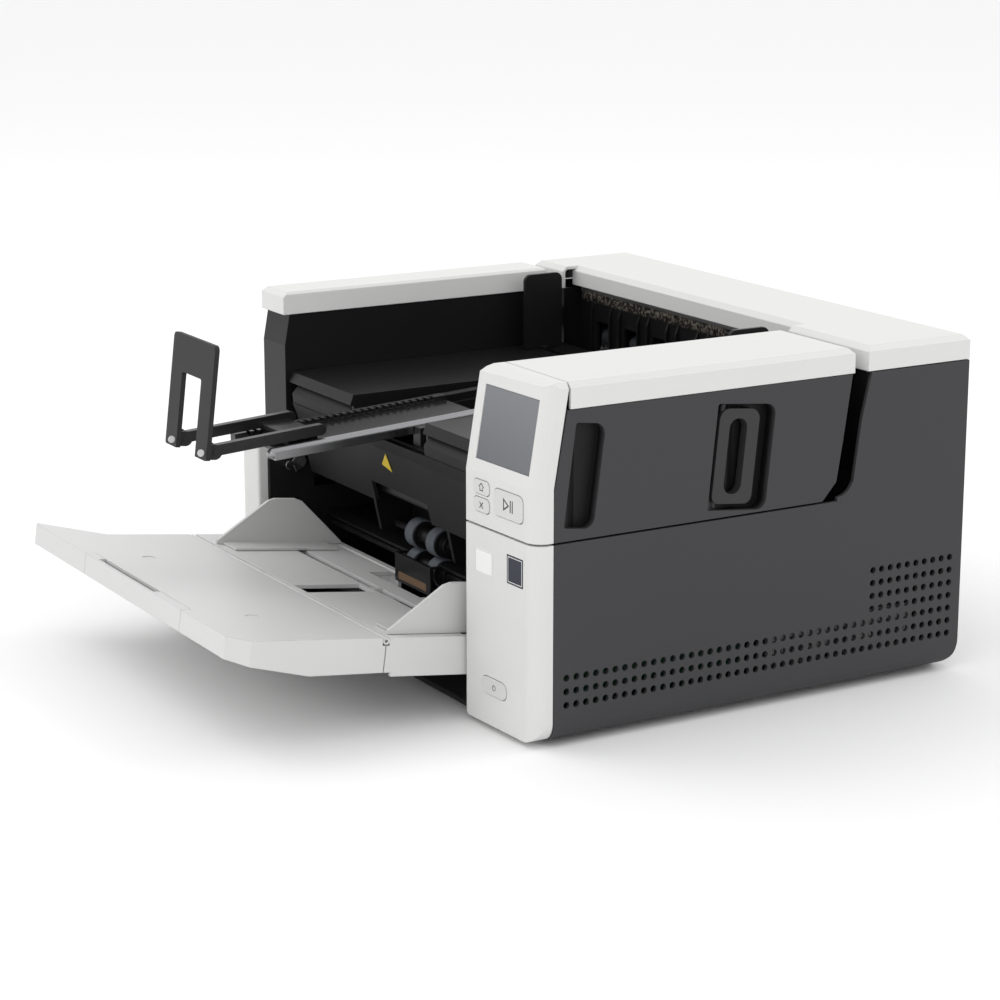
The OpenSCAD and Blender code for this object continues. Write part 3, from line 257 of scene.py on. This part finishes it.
def on_face(across, height, proud=0.0):
    """Placing matrix on the turned front face, with the piece drawn in x and z, facing -y."""
    turned = Matrix.Rotation(face_turn, 4, "Z")
    return Matrix.Translation(face_corner) @ turned @ Matrix.Translation((across, -proud, height))


def place_piece(form, name, material, body, matrix=Matrix.Identity(4), smooth=False):
    """Turn a bmesh into a piece that rides on a body."""
    bmesh.ops.transform(form, matrix=matrix, verts=form.verts)
    bmesh.ops.recalc_face_normals(form, faces=form.faces)
    for side in form.faces:
        side.smooth = smooth
    mesh = bpy.data.meshes.new(name)
    form.to_mesh(mesh)
    form.free()
    mesh.materials.append(material)
    piece = bpy.data.objects.new(name, mesh)
    bpy.context.scene.collection.objects.link(piece)
    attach(piece, body)
    return piece


def thin_plate(form, outline, thickness, hollow=0.0):
    """Add a thin plate with this (x, z) outline, or a ring that leaves this share of it open."""
    corners = [form.verts.new((x, 0, z)) for x, z in outline]
    if hollow:
        middle = sum((corner.co for corner in corners), Vector()) / len(corners)
        inner = [form.verts.new(middle.lerp(corner.co, hollow)) for corner in corners]
        pairs = list(zip(corners, inner))
        following = pairs[1:] + pairs[:1]
        front = [form.faces.new((a[0], b[0], b[1], a[1])) for a, b in zip(pairs, following)]
    else:
        front = [form.faces.new(corners)]
    raised = bmesh.ops.extrude_face_region(form, geom=front)["geom"]
    moved = [v for v in raised if isinstance(v, bmesh.types.BMVert)]
    bmesh.ops.translate(form, vec=(0, -thickness, 0), verts=moved)


def rounded_outline(width, height, radius, steps=5):
    """Outline of a rounded rectangle centred on the origin."""
    points = []
    for quarter, (sx, sz) in enumerate(((1, 1), (-1, 1), (-1, -1), (1, -1))):
        for step in range(steps + 1):
            angle = math.pi / 2 * (quarter + step / steps)
            points.append((
                sx * (width / 2 - radius) + radius * math.cos(angle),
                sz * (height / 2 - radius) + radius * math.sin(angle),
            ))
    return points


label_paper = moulded("label_paper", (0.86, 0.86, 0.85), (0.9, 0.9, 0.9), 0.35, 0.05, grain=600)
label_dark = moulded("label_dark", (0.03, 0.035, 0.05), (0.2, 0.2, 0.2), 0.3, 0.05, grain=600)
label_grey = moulded("label_grey", (0.5, 0.5, 0.5), (0.5, 0.5, 0.5), 0.4, 0.05, grain=600)
label_sheet, label_print = 0.00012, 0.00006
for name, across, drop, paper, line_ink, sheet_size, line_size, line_open in (
    ("pale_label", 0.023, 0.0243, label_paper, label_grey,
        (0.0232, 0.0182, 0.001), (0.0215, 0.0165, 0.0008), 0.965),
    ("dark_label", 0.0624, 0.0218, label_dark, label_paper,
        (0.020, 0.0206, 0.0006), (0.0176, 0.0182, 0.0005), 0.94),
):
    height = column_high.z - drop
    sheet, line = bmesh.new(), bmesh.new()
    thin_plate(sheet, rounded_outline(*sheet_size), label_sheet)
    place_piece(sheet, name, paper, "base", on_face(across, height))
    thin_plate(line, rounded_outline(*line_size), label_print, line_open)
    place_piece(line, name + "_line", line_ink, "base", on_face(across, height, label_sheet))

# ---------------------------------------------------------------- power button
# An oval push button in the foot of the right column, a little greyer than the column, with
# an on and off mark printed on its face.
button_skin = moulded("button_skin", (0.64, 0.64, 0.63), (0.72, 0.72, 0.72), 0.35, 0.05)
finish(button_skin, "power_button")
mark_ink = moulded("mark_ink", (0.05, 0.05, 0.055), (0.1, 0.1, 0.1), 0.4, 0.05)


def on_button(node):
    """Placing matrix at the middle of a button's turned front face."""
    low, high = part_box(node)
    middle = (low + high) / 2
    deep = (high.y - low.y - (high.x - low.x) * math.sin(face_turn)) / math.cos(face_turn)
    facing = Vector((math.sin(face_turn), -math.cos(face_turn), 0))
    front = middle + facing * deep / 2
    return Matrix.Translation(front) @ Matrix.Rotation(face_turn, 4, "Z")


def arc_outline(radius, line, start, end, steps=14):
    """Outline of an open ring between two angles in degrees."""
    angles = [math.radians(start + (end - start) * i / steps) for i in range(steps + 1)]
    outer = [((radius + line / 2) * math.cos(a), (radius + line / 2) * math.sin(a)) for a in angles]
    inner = [((radius - line / 2) * math.cos(a), (radius - line / 2) * math.sin(a)) for a in angles]
    return outer + inner[::-1]


ink, stroke = 0.00008, 0.0005
arc_radius, arc_start, arc_end = 0.0019, 120, 420
upright_length, upright_rise = 0.0022, 0.0014
power_mark = bmesh.new()
thin_plate(power_mark, arc_outline(arc_radius, stroke, arc_start, arc_end), ink)
upright = rounded_outline(stroke, upright_length, 0.0002, 2)
thin_plate(power_mark, [(x, z + upright_rise) for x, z in upright], ink)
place_piece(power_mark, "power_mark", mark_ink, "power_button", on_button("power_button"))

# ---------------------------------------------------------------- rear cover
# The fixed rear cover: a white cap with bevelled edges over dark inner walls, with the exit
# wall and its roller mouths let into it.
finish(white_skin, "rear_top_cap")
inner_skin = moulded("inner_skin", (0.008, 0.008, 0.0085), (0.03, 0.03, 0.03), 0.4, 0.25,
    gloss=0.16)
finish(inner_skin, "exit_wall", "rear_inner_cover")

# ---------------------------------------------------------------- static brush
# A strip of conductive bristles hangs under the rear cap and takes the charge off the sheets.
# Its filaments are clamped in an aluminium channel.
brush_low, brush_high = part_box("static_brush")
channel_height = 0.009
brush_channel = bmesh.new()
bmesh.ops.create_cube(brush_channel, size=1)
bmesh.ops.scale(brush_channel, verts=brush_channel.verts, vec=(
    brush_high.x - brush_low.x, brush_high.y - brush_low.y, channel_height))
bmesh.ops.bevel(brush_channel, geom=list(brush_channel.edges), offset=0.0003, segments=1,
    profile=0.5, affect="EDGES", material=-1)
strip_steel = moulded("strip_steel", (0.33, 0.33, 0.33), (0.5, 0.5, 0.5), 0.35, 0.1)
strip_steel.node_tree.nodes["Principled BSDF"].inputs["Metallic"].default_value = 0.9
channel_middle = Vector((
    (brush_low.x + brush_high.x) / 2,
    (brush_low.y + brush_high.y) / 2,
    brush_high.z - channel_height / 2,
))
channel_piece = place_piece(brush_channel, "brush_channel", strip_steel, "base",
    Matrix.Translation(channel_middle))
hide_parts("static_brush")

bristles = bmesh.new()
bristle_length = brush_high.z - channel_height - brush_low.z
bristle_middle = brush_low.z + bristle_length * 0.54
bristle_step = 0.00075
tip_radius, root_radius = 0.00006, 0.0002
side_sway, fore_sway = 0.16, 0.05
bristle_count = int((brush_high.x - brush_low.x) / bristle_step)
for i in range(bristle_count):
    sway = math.sin(i * 12.9898) * 0.6 + math.sin(i * 4.1) * 0.4
    length = bristle_length * (0.93 + 0.07 * math.sin(i * 7.7))
    made = bmesh.ops.create_cone(bristles, cap_ends=True, segments=3, radius1=tip_radius,
        radius2=root_radius, depth=length)
    swing = Matrix.Rotation(sway * side_sway, 3, "Y") @ Matrix.Rotation(sway * fore_sway, 3, "X")
    bmesh.ops.rotate(bristles, verts=made["verts"], cent=(0, 0, bristle_length / 2),
        matrix=swing)
    bmesh.ops.translate(bristles, verts=made["verts"], vec=(
        brush_low.x + (i + 0.5) * bristle_step, channel_middle.y, bristle_middle))
bristle_fibre = bpy.data.materials.new("bristle_fibre")
bristle_fibre.use_nodes = True
fibre_nodes, fibre_link = bristle_fibre.node_tree.nodes, bristle_fibre.node_tree.links.new
fibre_place = fibre_nodes.new("ShaderNodeTexCoord")
fibre_noise = fibre_nodes.new("ShaderNodeTexNoise")
fibre_noise.inputs["Scale"].default_value = 420
fibre_ramp = fibre_nodes.new("ShaderNodeValToRGB")
fibre_ramp.color_ramp.elements[0].position = 0.47
fibre_ramp.color_ramp.elements[0].color = (0.015, 0.014, 0.013, 1)
fibre_ramp.color_ramp.elements[1].position = 0.6
fibre_ramp.color_ramp.elements[1].color = (0.46, 0.41, 0.34, 1)
fibre_link(fibre_place.outputs["Object"], fibre_noise.inputs["Vector"])
fibre_link(fibre_noise.outputs["Fac"], fibre_ramp.inputs["Fac"])
fibre_link(fibre_ramp.outputs["Color"], fibre_nodes["Principled BSDF"].inputs["Base Color"])
fibre_nodes["Principled BSDF"].inputs["Roughness"].default_value = 0.45
bristle_piece = place_piece(bristles, "brush_bristles", bristle_fibre, "base")

# ---------------------------------------------------------------- side plates and latch pins
# Black powder coated steel plates carry the rollers and the cover. The pins for the hooks of
# the cover, the brackets and shafts it turns on and the case of the motor are bare steel.
plate_coat = moulded("plate_coat", (0.01, 0.01, 0.0105), (0.05, 0.05, 0.05), 0.5, 0.4,
    grain=1100, gloss=0.16)
finish(plate_coat, "side_plates", "cover_frame")
turned_steel = moulded("turned_steel", (0.62, 0.62, 0.64), (0.8, 0.8, 0.8), 0.22, 0.05)
turned_steel.node_tree.nodes["Principled BSDF"].inputs["Metallic"].default_value = 1.0
finish(turned_steel, "latch_pins", "latch_shaft", "hinge_brackets", "tray_pin", "drive_motor")

# ---------------------------------------------------------------- paper path
# Black guides with the two scanning heads between them, each behind a pane of clear glass.
finish(inner_skin, "lower_guide")
camera_coat = moulded("camera_coat", (0.014, 0.014, 0.016), (0.05, 0.05, 0.05), 0.45, 0.3,
    gloss=0.15)
finish(camera_coat, "lower_camera", "upper_camera")
scan_glass = bpy.data.materials.new("scan_glass")
scan_glass.use_nodes = True
scan_shader = scan_glass.node_tree.nodes["Principled BSDF"]
scan_shader.inputs["Base Color"].default_value = (0.75, 0.85, 0.88, 1)
scan_shader.inputs["Roughness"].default_value = 0.04
scan_shader.inputs["Transmission Weight"].default_value = 1.0
finish(scan_glass, "lower_glass", "upper_glass")

# ---------------------------------------------------------------- rollers
# Rubber tyres with moulded ribs on steel shafts. The feed and separation pairs are bare
# blue grey rubber between black flanges, the transport rollers are plain.
roller_rubber = moulded("roller_rubber", (0.03, 0.032, 0.036), (0.06, 0.06, 0.06), 0.6, 0.4,
    grain=900, gloss=0.15)
finish(roller_rubber, "front_drive_roller", "rear_drive_roller", "exit_roller")
idler_plastic = moulded("idler_plastic", (0.22, 0.23, 0.25), (0.3, 0.3, 0.3), 0.4, 0.1)
finish(idler_plastic, "front_idler", "rear_idler")
tyre_rubber = moulded("tyre_rubber", (0.15, 0.165, 0.19), (0.2, 0.22, 0.25), 0.62, 0.5,
    grain=900)
flange_plastic = moulded("flange_plastic", (0.01, 0.01, 0.011), (0.05, 0.05, 0.05), 0.4, 0.1,
    gloss=0.2)
tyre_radius, tyre_width, tyre_offset = 0.0115, 0.015, 0.0165
tread_width = tyre_width - 0.003
rib_gap, rib_depth = 0.00014, 0.0004
flange_radius, flange_width = tyre_radius - 0.0009, 0.0016
hub_radius, hub_reach = 0.0065, 0.012
shaft_radius = 0.003


def disc(form, centre, radius, width, segments=48):
    """Add a disc across x to the form and return its verts."""
    made = bmesh.ops.create_cone(form, cap_ends=True, segments=segments, radius1=radius,
        radius2=radius, depth=width)
    bmesh.ops.rotate(form, verts=made["verts"], cent=(0, 0, 0),
        matrix=Matrix.Rotation(math.pi / 2, 3, "Y"))
    bmesh.ops.translate(form, verts=made["verts"], vec=centre)
    return made["verts"]


for roller_node in ("feed_roller", "separation_roller"):
    low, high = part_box(roller_node)
    middle = (low + high) / 2
    tyres, hubs = bmesh.new(), bmesh.new()
    for side in (-1, 1):
        centre = middle + Vector((side * tyre_offset, 0, 0))
        ring = set(disc(tyres, centre, tyre_radius, tread_width, 96))
        tread = [f for f in tyres.faces if len(f.verts) == 4 and set(f.verts) <= ring]
        bmesh.ops.inset_individual(tyres, faces=tread, thickness=rib_gap, depth=-rib_depth)
        for step in (-1, 1):
            flange_shift = Vector((step * (tyre_width / 2 - flange_width / 2), 0, 0))
            disc(hubs, centre + flange_shift, flange_radius, flange_width)
    disc(hubs, middle, hub_radius, 2 * tyre_offset + tyre_width + hub_reach)
    disc(hubs, middle, shaft_radius, high.x - low.x)
    tyre_piece = place_piece(tyres, roller_node + "_tyres", tyre_rubber, roller_node)
    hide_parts(roller_node)
    hub_piece = place_piece(hubs, roller_node + "_hubs", flange_plastic, roller_node)

# ---------------------------------------------------------------- power supply, board and sockets
# Behind the right side panel: a perforated steel power supply, the main board with its chips,
# and the sockets that show through the rear panel.
sheet_steel = moulded("sheet_steel", (0.5, 0.5, 0.5), (0.6, 0.6, 0.6), 0.35, 0.1)
sheet_steel.node_tree.nodes["Principled BSDF"].inputs["Metallic"].default_value = 0.9
finish(sheet_steel, "power_supply", "data_ports")
board_mask = moulded("board_mask", (0.01, 0.09, 0.035), (0.1, 0.1, 0.05), 0.35, 0.1)
finish(board_mask, "main_board")
finish(inner_skin, "power_inlet")

# ---------------------------------------------------------------- cover arm and caps
# The right arm of the cover: a charcoal side with a front scoop and a handle pocket, closed
# inside by a black liner, with a white cap clipped on top. Painted shade darkens the scoop and
# pocket inwards.
arm_skin = moulded("arm_skin", (0.044, 0.044, 0.047), (0.1, 0.1, 0.1), 0.55, 0.3)
arm_nodes, arm_link = arm_skin.node_tree.nodes, arm_skin.node_tree.links.new
arm_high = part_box("right_arm_cover")[1]
# Painted shade: deeper than the outer skin, the arm's colour darkens to near black
painted_shade_start, painted_shade_end = 0.0016, 0.006
arm_place = arm_nodes.new("ShaderNodeTexCoord")
arm_split = arm_nodes.new("ShaderNodeSeparateXYZ")
arm_shade_depth = arm_nodes.new("ShaderNodeMapRange")
arm_shade_depth.inputs["From Min"].default_value = arm_high.x - painted_shade_start
arm_shade_depth.inputs["From Max"].default_value = arm_high.x - painted_shade_end
arm_shader = arm_nodes["Principled BSDF"]
arm_painted_shade = arm_nodes.new("ShaderNodeMix")
arm_painted_shade.data_type = "RGBA"
arm_painted_shade.inputs["B"].default_value = (0.0045, 0.0045, 0.005, 1)
arm_link(arm_place.outputs["Object"], arm_split.inputs["Vector"])
arm_link(arm_split.outputs["X"], arm_shade_depth.inputs["Value"])
arm_link(arm_shade_depth.outputs["Result"], arm_painted_shade.inputs["Factor"])
arm_link(arm_shader.inputs["Base Color"].links[0].from_socket, arm_painted_shade.inputs["A"])
arm_link(arm_painted_shade.outputs["Result"], arm_shader.inputs["Base Color"])
finish(arm_skin, "right_arm_cover")
finish(inner_skin, "right_arm_liner")
finish(white_skin, "right_arm_cap", "left_wall_cap", "control_panel")
handle_skin = moulded("handle_skin", (0.032, 0.032, 0.034), (0.09, 0.09, 0.09), 0.42, 0.15)
finish(handle_skin, "release_handle")

# ---------------------------------------------------------------- display
# A small touch screen let into the leaning part of the control panel. It sleeps, so it shows
# as plain grey glass, with a painted reflection that makes it a little lighter towards the top.
screen_low, screen_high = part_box("display")
screen = bpy.data.materials.new("screen")
screen.use_nodes = True
screen_nodes, screen_link = screen.node_tree.nodes, screen.node_tree.links.new
screen_shader = screen_nodes["Principled BSDF"]
screen_shader.inputs["Roughness"].default_value = 0.3
screen_shader.inputs["Specular IOR Level"].default_value = 0.25
screen_place = screen_nodes.new("ShaderNodeTexCoord")
screen_split = screen_nodes.new("ShaderNodeSeparateXYZ")
# Painted reflection: the glass colour lightens from the bottom of the screen to its top
screen_reflection_fade = screen_nodes.new("ShaderNodeMapRange")
screen_reflection_fade.inputs["From Min"].default_value = screen_low.z
screen_reflection_fade.inputs["From Max"].default_value = screen_high.z
screen_reflection_ramp = screen_nodes.new("ShaderNodeValToRGB")
screen_reflection_ramp.color_ramp.elements[0].color = (0.145, 0.15, 0.165, 1)
screen_reflection_ramp.color_ramp.elements[1].color = (0.21, 0.215, 0.23, 1)
screen_link(screen_place.outputs["Object"], screen_split.inputs["Vector"])
screen_link(screen_split.outputs["Z"], screen_reflection_fade.inputs["Value"])
screen_link(screen_reflection_fade.outputs["Result"], screen_reflection_ramp.inputs["Fac"])
screen_link(screen_reflection_ramp.outputs["Color"], screen_shader.inputs["Base Color"])
finish(screen, "display")

# ---------------------------------------------------------------- control buttons
# Three push buttons under the display, of the same pale plastic as the power button. Printed
# marks stand for home, cancel and start.
finish(button_skin, "home_button", "cancel_button", "start_button")

home_outline = ((-0.0021, -0.0026), (0.0021, -0.0026), (0.0021, 0.0003), (0.0035, 0.0003),
    (0, 0.0034), (-0.0035, 0.0003), (-0.0021, 0.0003))
home_mark = bmesh.new()
thin_plate(home_mark, home_outline, ink, 0.72)
place_piece(home_mark, "home_mark", mark_ink, "home_button", on_button("home_button"))

bar, reach = 0.0004, 0.0031
cross_outline = ((bar, bar), (bar, reach), (-bar, reach), (-bar, bar), (-reach, bar),
    (-reach, -bar), (-bar, -bar), (-bar, -reach), (bar, -reach), (bar, -bar), (reach, -bar),
    (reach, bar))
cancel_mark = bmesh.new()
thin_plate(cancel_mark, cross_outline, ink)
bmesh.ops.rotate(cancel_mark, verts=cancel_mark.verts,
    matrix=Matrix.Rotation(math.pi / 4, 3, "Y"))
place_piece(cancel_mark, "cancel_mark", mark_ink, "cancel_button", on_button("cancel_button"))

start_mark = bmesh.new()
thin_plate(start_mark, ((-0.0062, -0.0046), (0.0012, 0), (-0.0062, 0.0046)), ink, 0.6)
for bar_x in (0.0027, 0.0052):
    outline = [(bar_x + x, z) for x, z in rounded_outline(0.0011, 0.0088, 0.0003, 2)]
    thin_plate(start_mark, outline, ink)
place_piece(start_mark, "start_mark", mark_ink, "start_button", on_button("start_button"))

# ---------------------------------------------------------------- left wall and output deck
# The left wall of the cover, the deck with its two guides and the feed module under it are
# black satin mouldings, smooth where the sheets slide.
deck_skin = moulded("deck_skin", (0.009, 0.009, 0.0095), (0.045, 0.045, 0.045), 0.34, 0.2,
    gloss=0.18)
finish(deck_skin, "left_wall_cover", "output_deck", "output_guide_left", "output_guide_right",
    "feed_module")

# ---------------------------------------------------------------- output extension and end stop
# The extension pulls out of the deck on two rails, one of them bright along its edge; the
# carrier at its end holds the end stop flag, which folds on two pins with white heads.
rail_skin = moulded("rail_skin", (0.013, 0.013, 0.0135), (0.12, 0.12, 0.12), 0.27, 0.1, gloss=0.3)
finish(rail_skin, "stop_carrier")
bar_skin = moulded("bar_skin", (0.013, 0.013, 0.0135), (0.12, 0.12, 0.12), 0.27, 0.1, gloss=0.3)
bar_nodes, bar_link = bar_skin.node_tree.nodes, bar_skin.node_tree.links.new
bar_shader = bar_nodes["Principled BSDF"]
extension_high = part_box("output_extension")[1]
bright_width = 0.0068
bar_place = bar_nodes.new("ShaderNodeTexCoord")
bar_split = bar_nodes.new("ShaderNodeSeparateXYZ")
bar_mask = bar_nodes.new("ShaderNodeMath")
bar_mask.operation = "GREATER_THAN"
bar_mask.inputs[1].default_value = extension_high.x - bright_width
bar_tint = bar_nodes.new("ShaderNodeMix")
bar_tint.data_type = "RGBA"
bar_tint.inputs["B"].default_value = (0.31, 0.31, 0.32, 1)
bar_link(bar_place.outputs["Object"], bar_split.inputs["Vector"])
bar_link(bar_split.outputs["X"], bar_mask.inputs[0])
bar_link(bar_mask.outputs["Value"], bar_tint.inputs["Factor"])
bar_link(bar_shader.inputs["Base Color"].links[0].from_socket, bar_tint.inputs["A"])
bar_link(bar_tint.outputs["Result"], bar_shader.inputs["Base Color"])
bar_link(bar_mask.outputs["Value"], bar_shader.inputs["Metallic"])
finish(bar_skin, "output_extension")
flag_skin = moulded("flag_skin", (0.024, 0.024, 0.025), (0.08, 0.08, 0.08), 0.5, 0.25, gloss=0.2)
finish(flag_skin, "end_stop_flag")

flag_low, flag_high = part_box("end_stop_flag")
pin_white = moulded("pin_white", (0.62, 0.62, 0.62), (0.7, 0.7, 0.7), 0.4, 0.05)
pin_heads = bmesh.new()
head_radius, head_width = 0.0026, 0.0008
head_y, head_z = flag_high.y - 0.0172, flag_low.z + 0.0066
for head_x in (flag_high.x - 0.0025, flag_low.x + 0.0173):
    disc(pin_heads, Vector((head_x, head_y, head_z)), head_radius, head_width, 24)
place_piece(pin_heads, "flag_pin_heads", pin_white, "end_stop_flag")

# ---------------------------------------------------------------- front fascia
# A sloping dark grey moulding closes the cover over the feed opening. It carries a small plain
# yellow label.
fascia_skin = moulded("fascia_skin", (0.016, 0.016, 0.0165), (0.05, 0.05, 0.05), 0.5, 0.25,
    gloss=0.15)
finish(fascia_skin, "front_fascia")
fascia_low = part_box("front_fascia")[0]
label_yellow = moulded("label_yellow", (0.78, 0.58, 0.03), (0.8, 0.6, 0.1), 0.4, 0.05)
corner_reach = 0.0088
triangle = [(corner_reach * math.sin(math.radians(a)), corner_reach * math.cos(math.radians(a)))
    for a in (14, 134, 254)]
label = bmesh.new()
thin_plate(label, triangle, label_sheet)
fascia_slope = math.atan2(12, 48)
triangle_middle = Vector((-0.0325, fascia_low.y + 0.0062, 0.1475))
place_piece(label, "plain_triangle_label", label_yellow, "cover",
    Matrix.Translation(triangle_middle) @ Matrix.Rotation(fascia_slope, 4, "X"))

# ---------------------------------------------------------------- input tray
# The lift table, the folding tray, its pull-out end and the two side guides are white and pale
# grey mouldings. A black plate under the table shows through its slots, standing for the dark guide
# below them and for painted shade inside them; a cork pad sits on the apron before the rollers.
tray_skin = moulded("tray_skin", (0.64, 0.64, 0.635), (0.74, 0.74, 0.73), 0.42, 0.12, radius=0.0009)
finish(tray_skin, "lift_table", "input_tray", "tray_extension")
table_low, table_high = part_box("lift_table")
roller_low, roller_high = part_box("separation_roller")
middle_x = roller_low.x / 2 + roller_high.x / 2
table_slope = math.radians(-7.6)
# Dark plate under the slots: partly the black guide below them, partly painted shade in them
guide_and_shade_plate_size = (table_high.x - table_low.x - 0.009, 0.072, 0.0008)
guide_and_shade_plate_middle = Vector((middle_x, table_low.y + 0.04, table_high.z - 0.012))
guide_and_shade_plate = bmesh.new()
bmesh.ops.create_cube(guide_and_shade_plate, size=1)
bmesh.ops.scale(guide_and_shade_plate, verts=guide_and_shade_plate.verts, vec=guide_and_shade_plate_size)
place_piece(guide_and_shade_plate, "table_guide_and_shade_plate", inner_skin, "lift_table",
    Matrix.Translation(guide_and_shade_plate_middle) @ Matrix.Rotation(table_slope, 4, "X"))
pad_thickness = 0.0004
pad_middle = Vector((middle_x, roller_low.y - 0.0055, roller_high.z - 0.0203))
pad = bmesh.new()
thin_plate(pad, rounded_outline(0.044, 0.006, 0.001), pad_thickness)
cork = moulded("cork", (0.17, 0.11, 0.07), (0.22, 0.15, 0.1), 0.7, 0.6, grain=500, gloss=0.1)
place_piece(pad, "apron_pad", cork, "base", Matrix.Translation(pad_middle))
guide_skin = moulded("guide_skin", (0.58, 0.58, 0.575), (0.7, 0.7, 0.7), 0.42, 0.1)
finish(guide_skin, "input_guide_left", "input_guide_right")
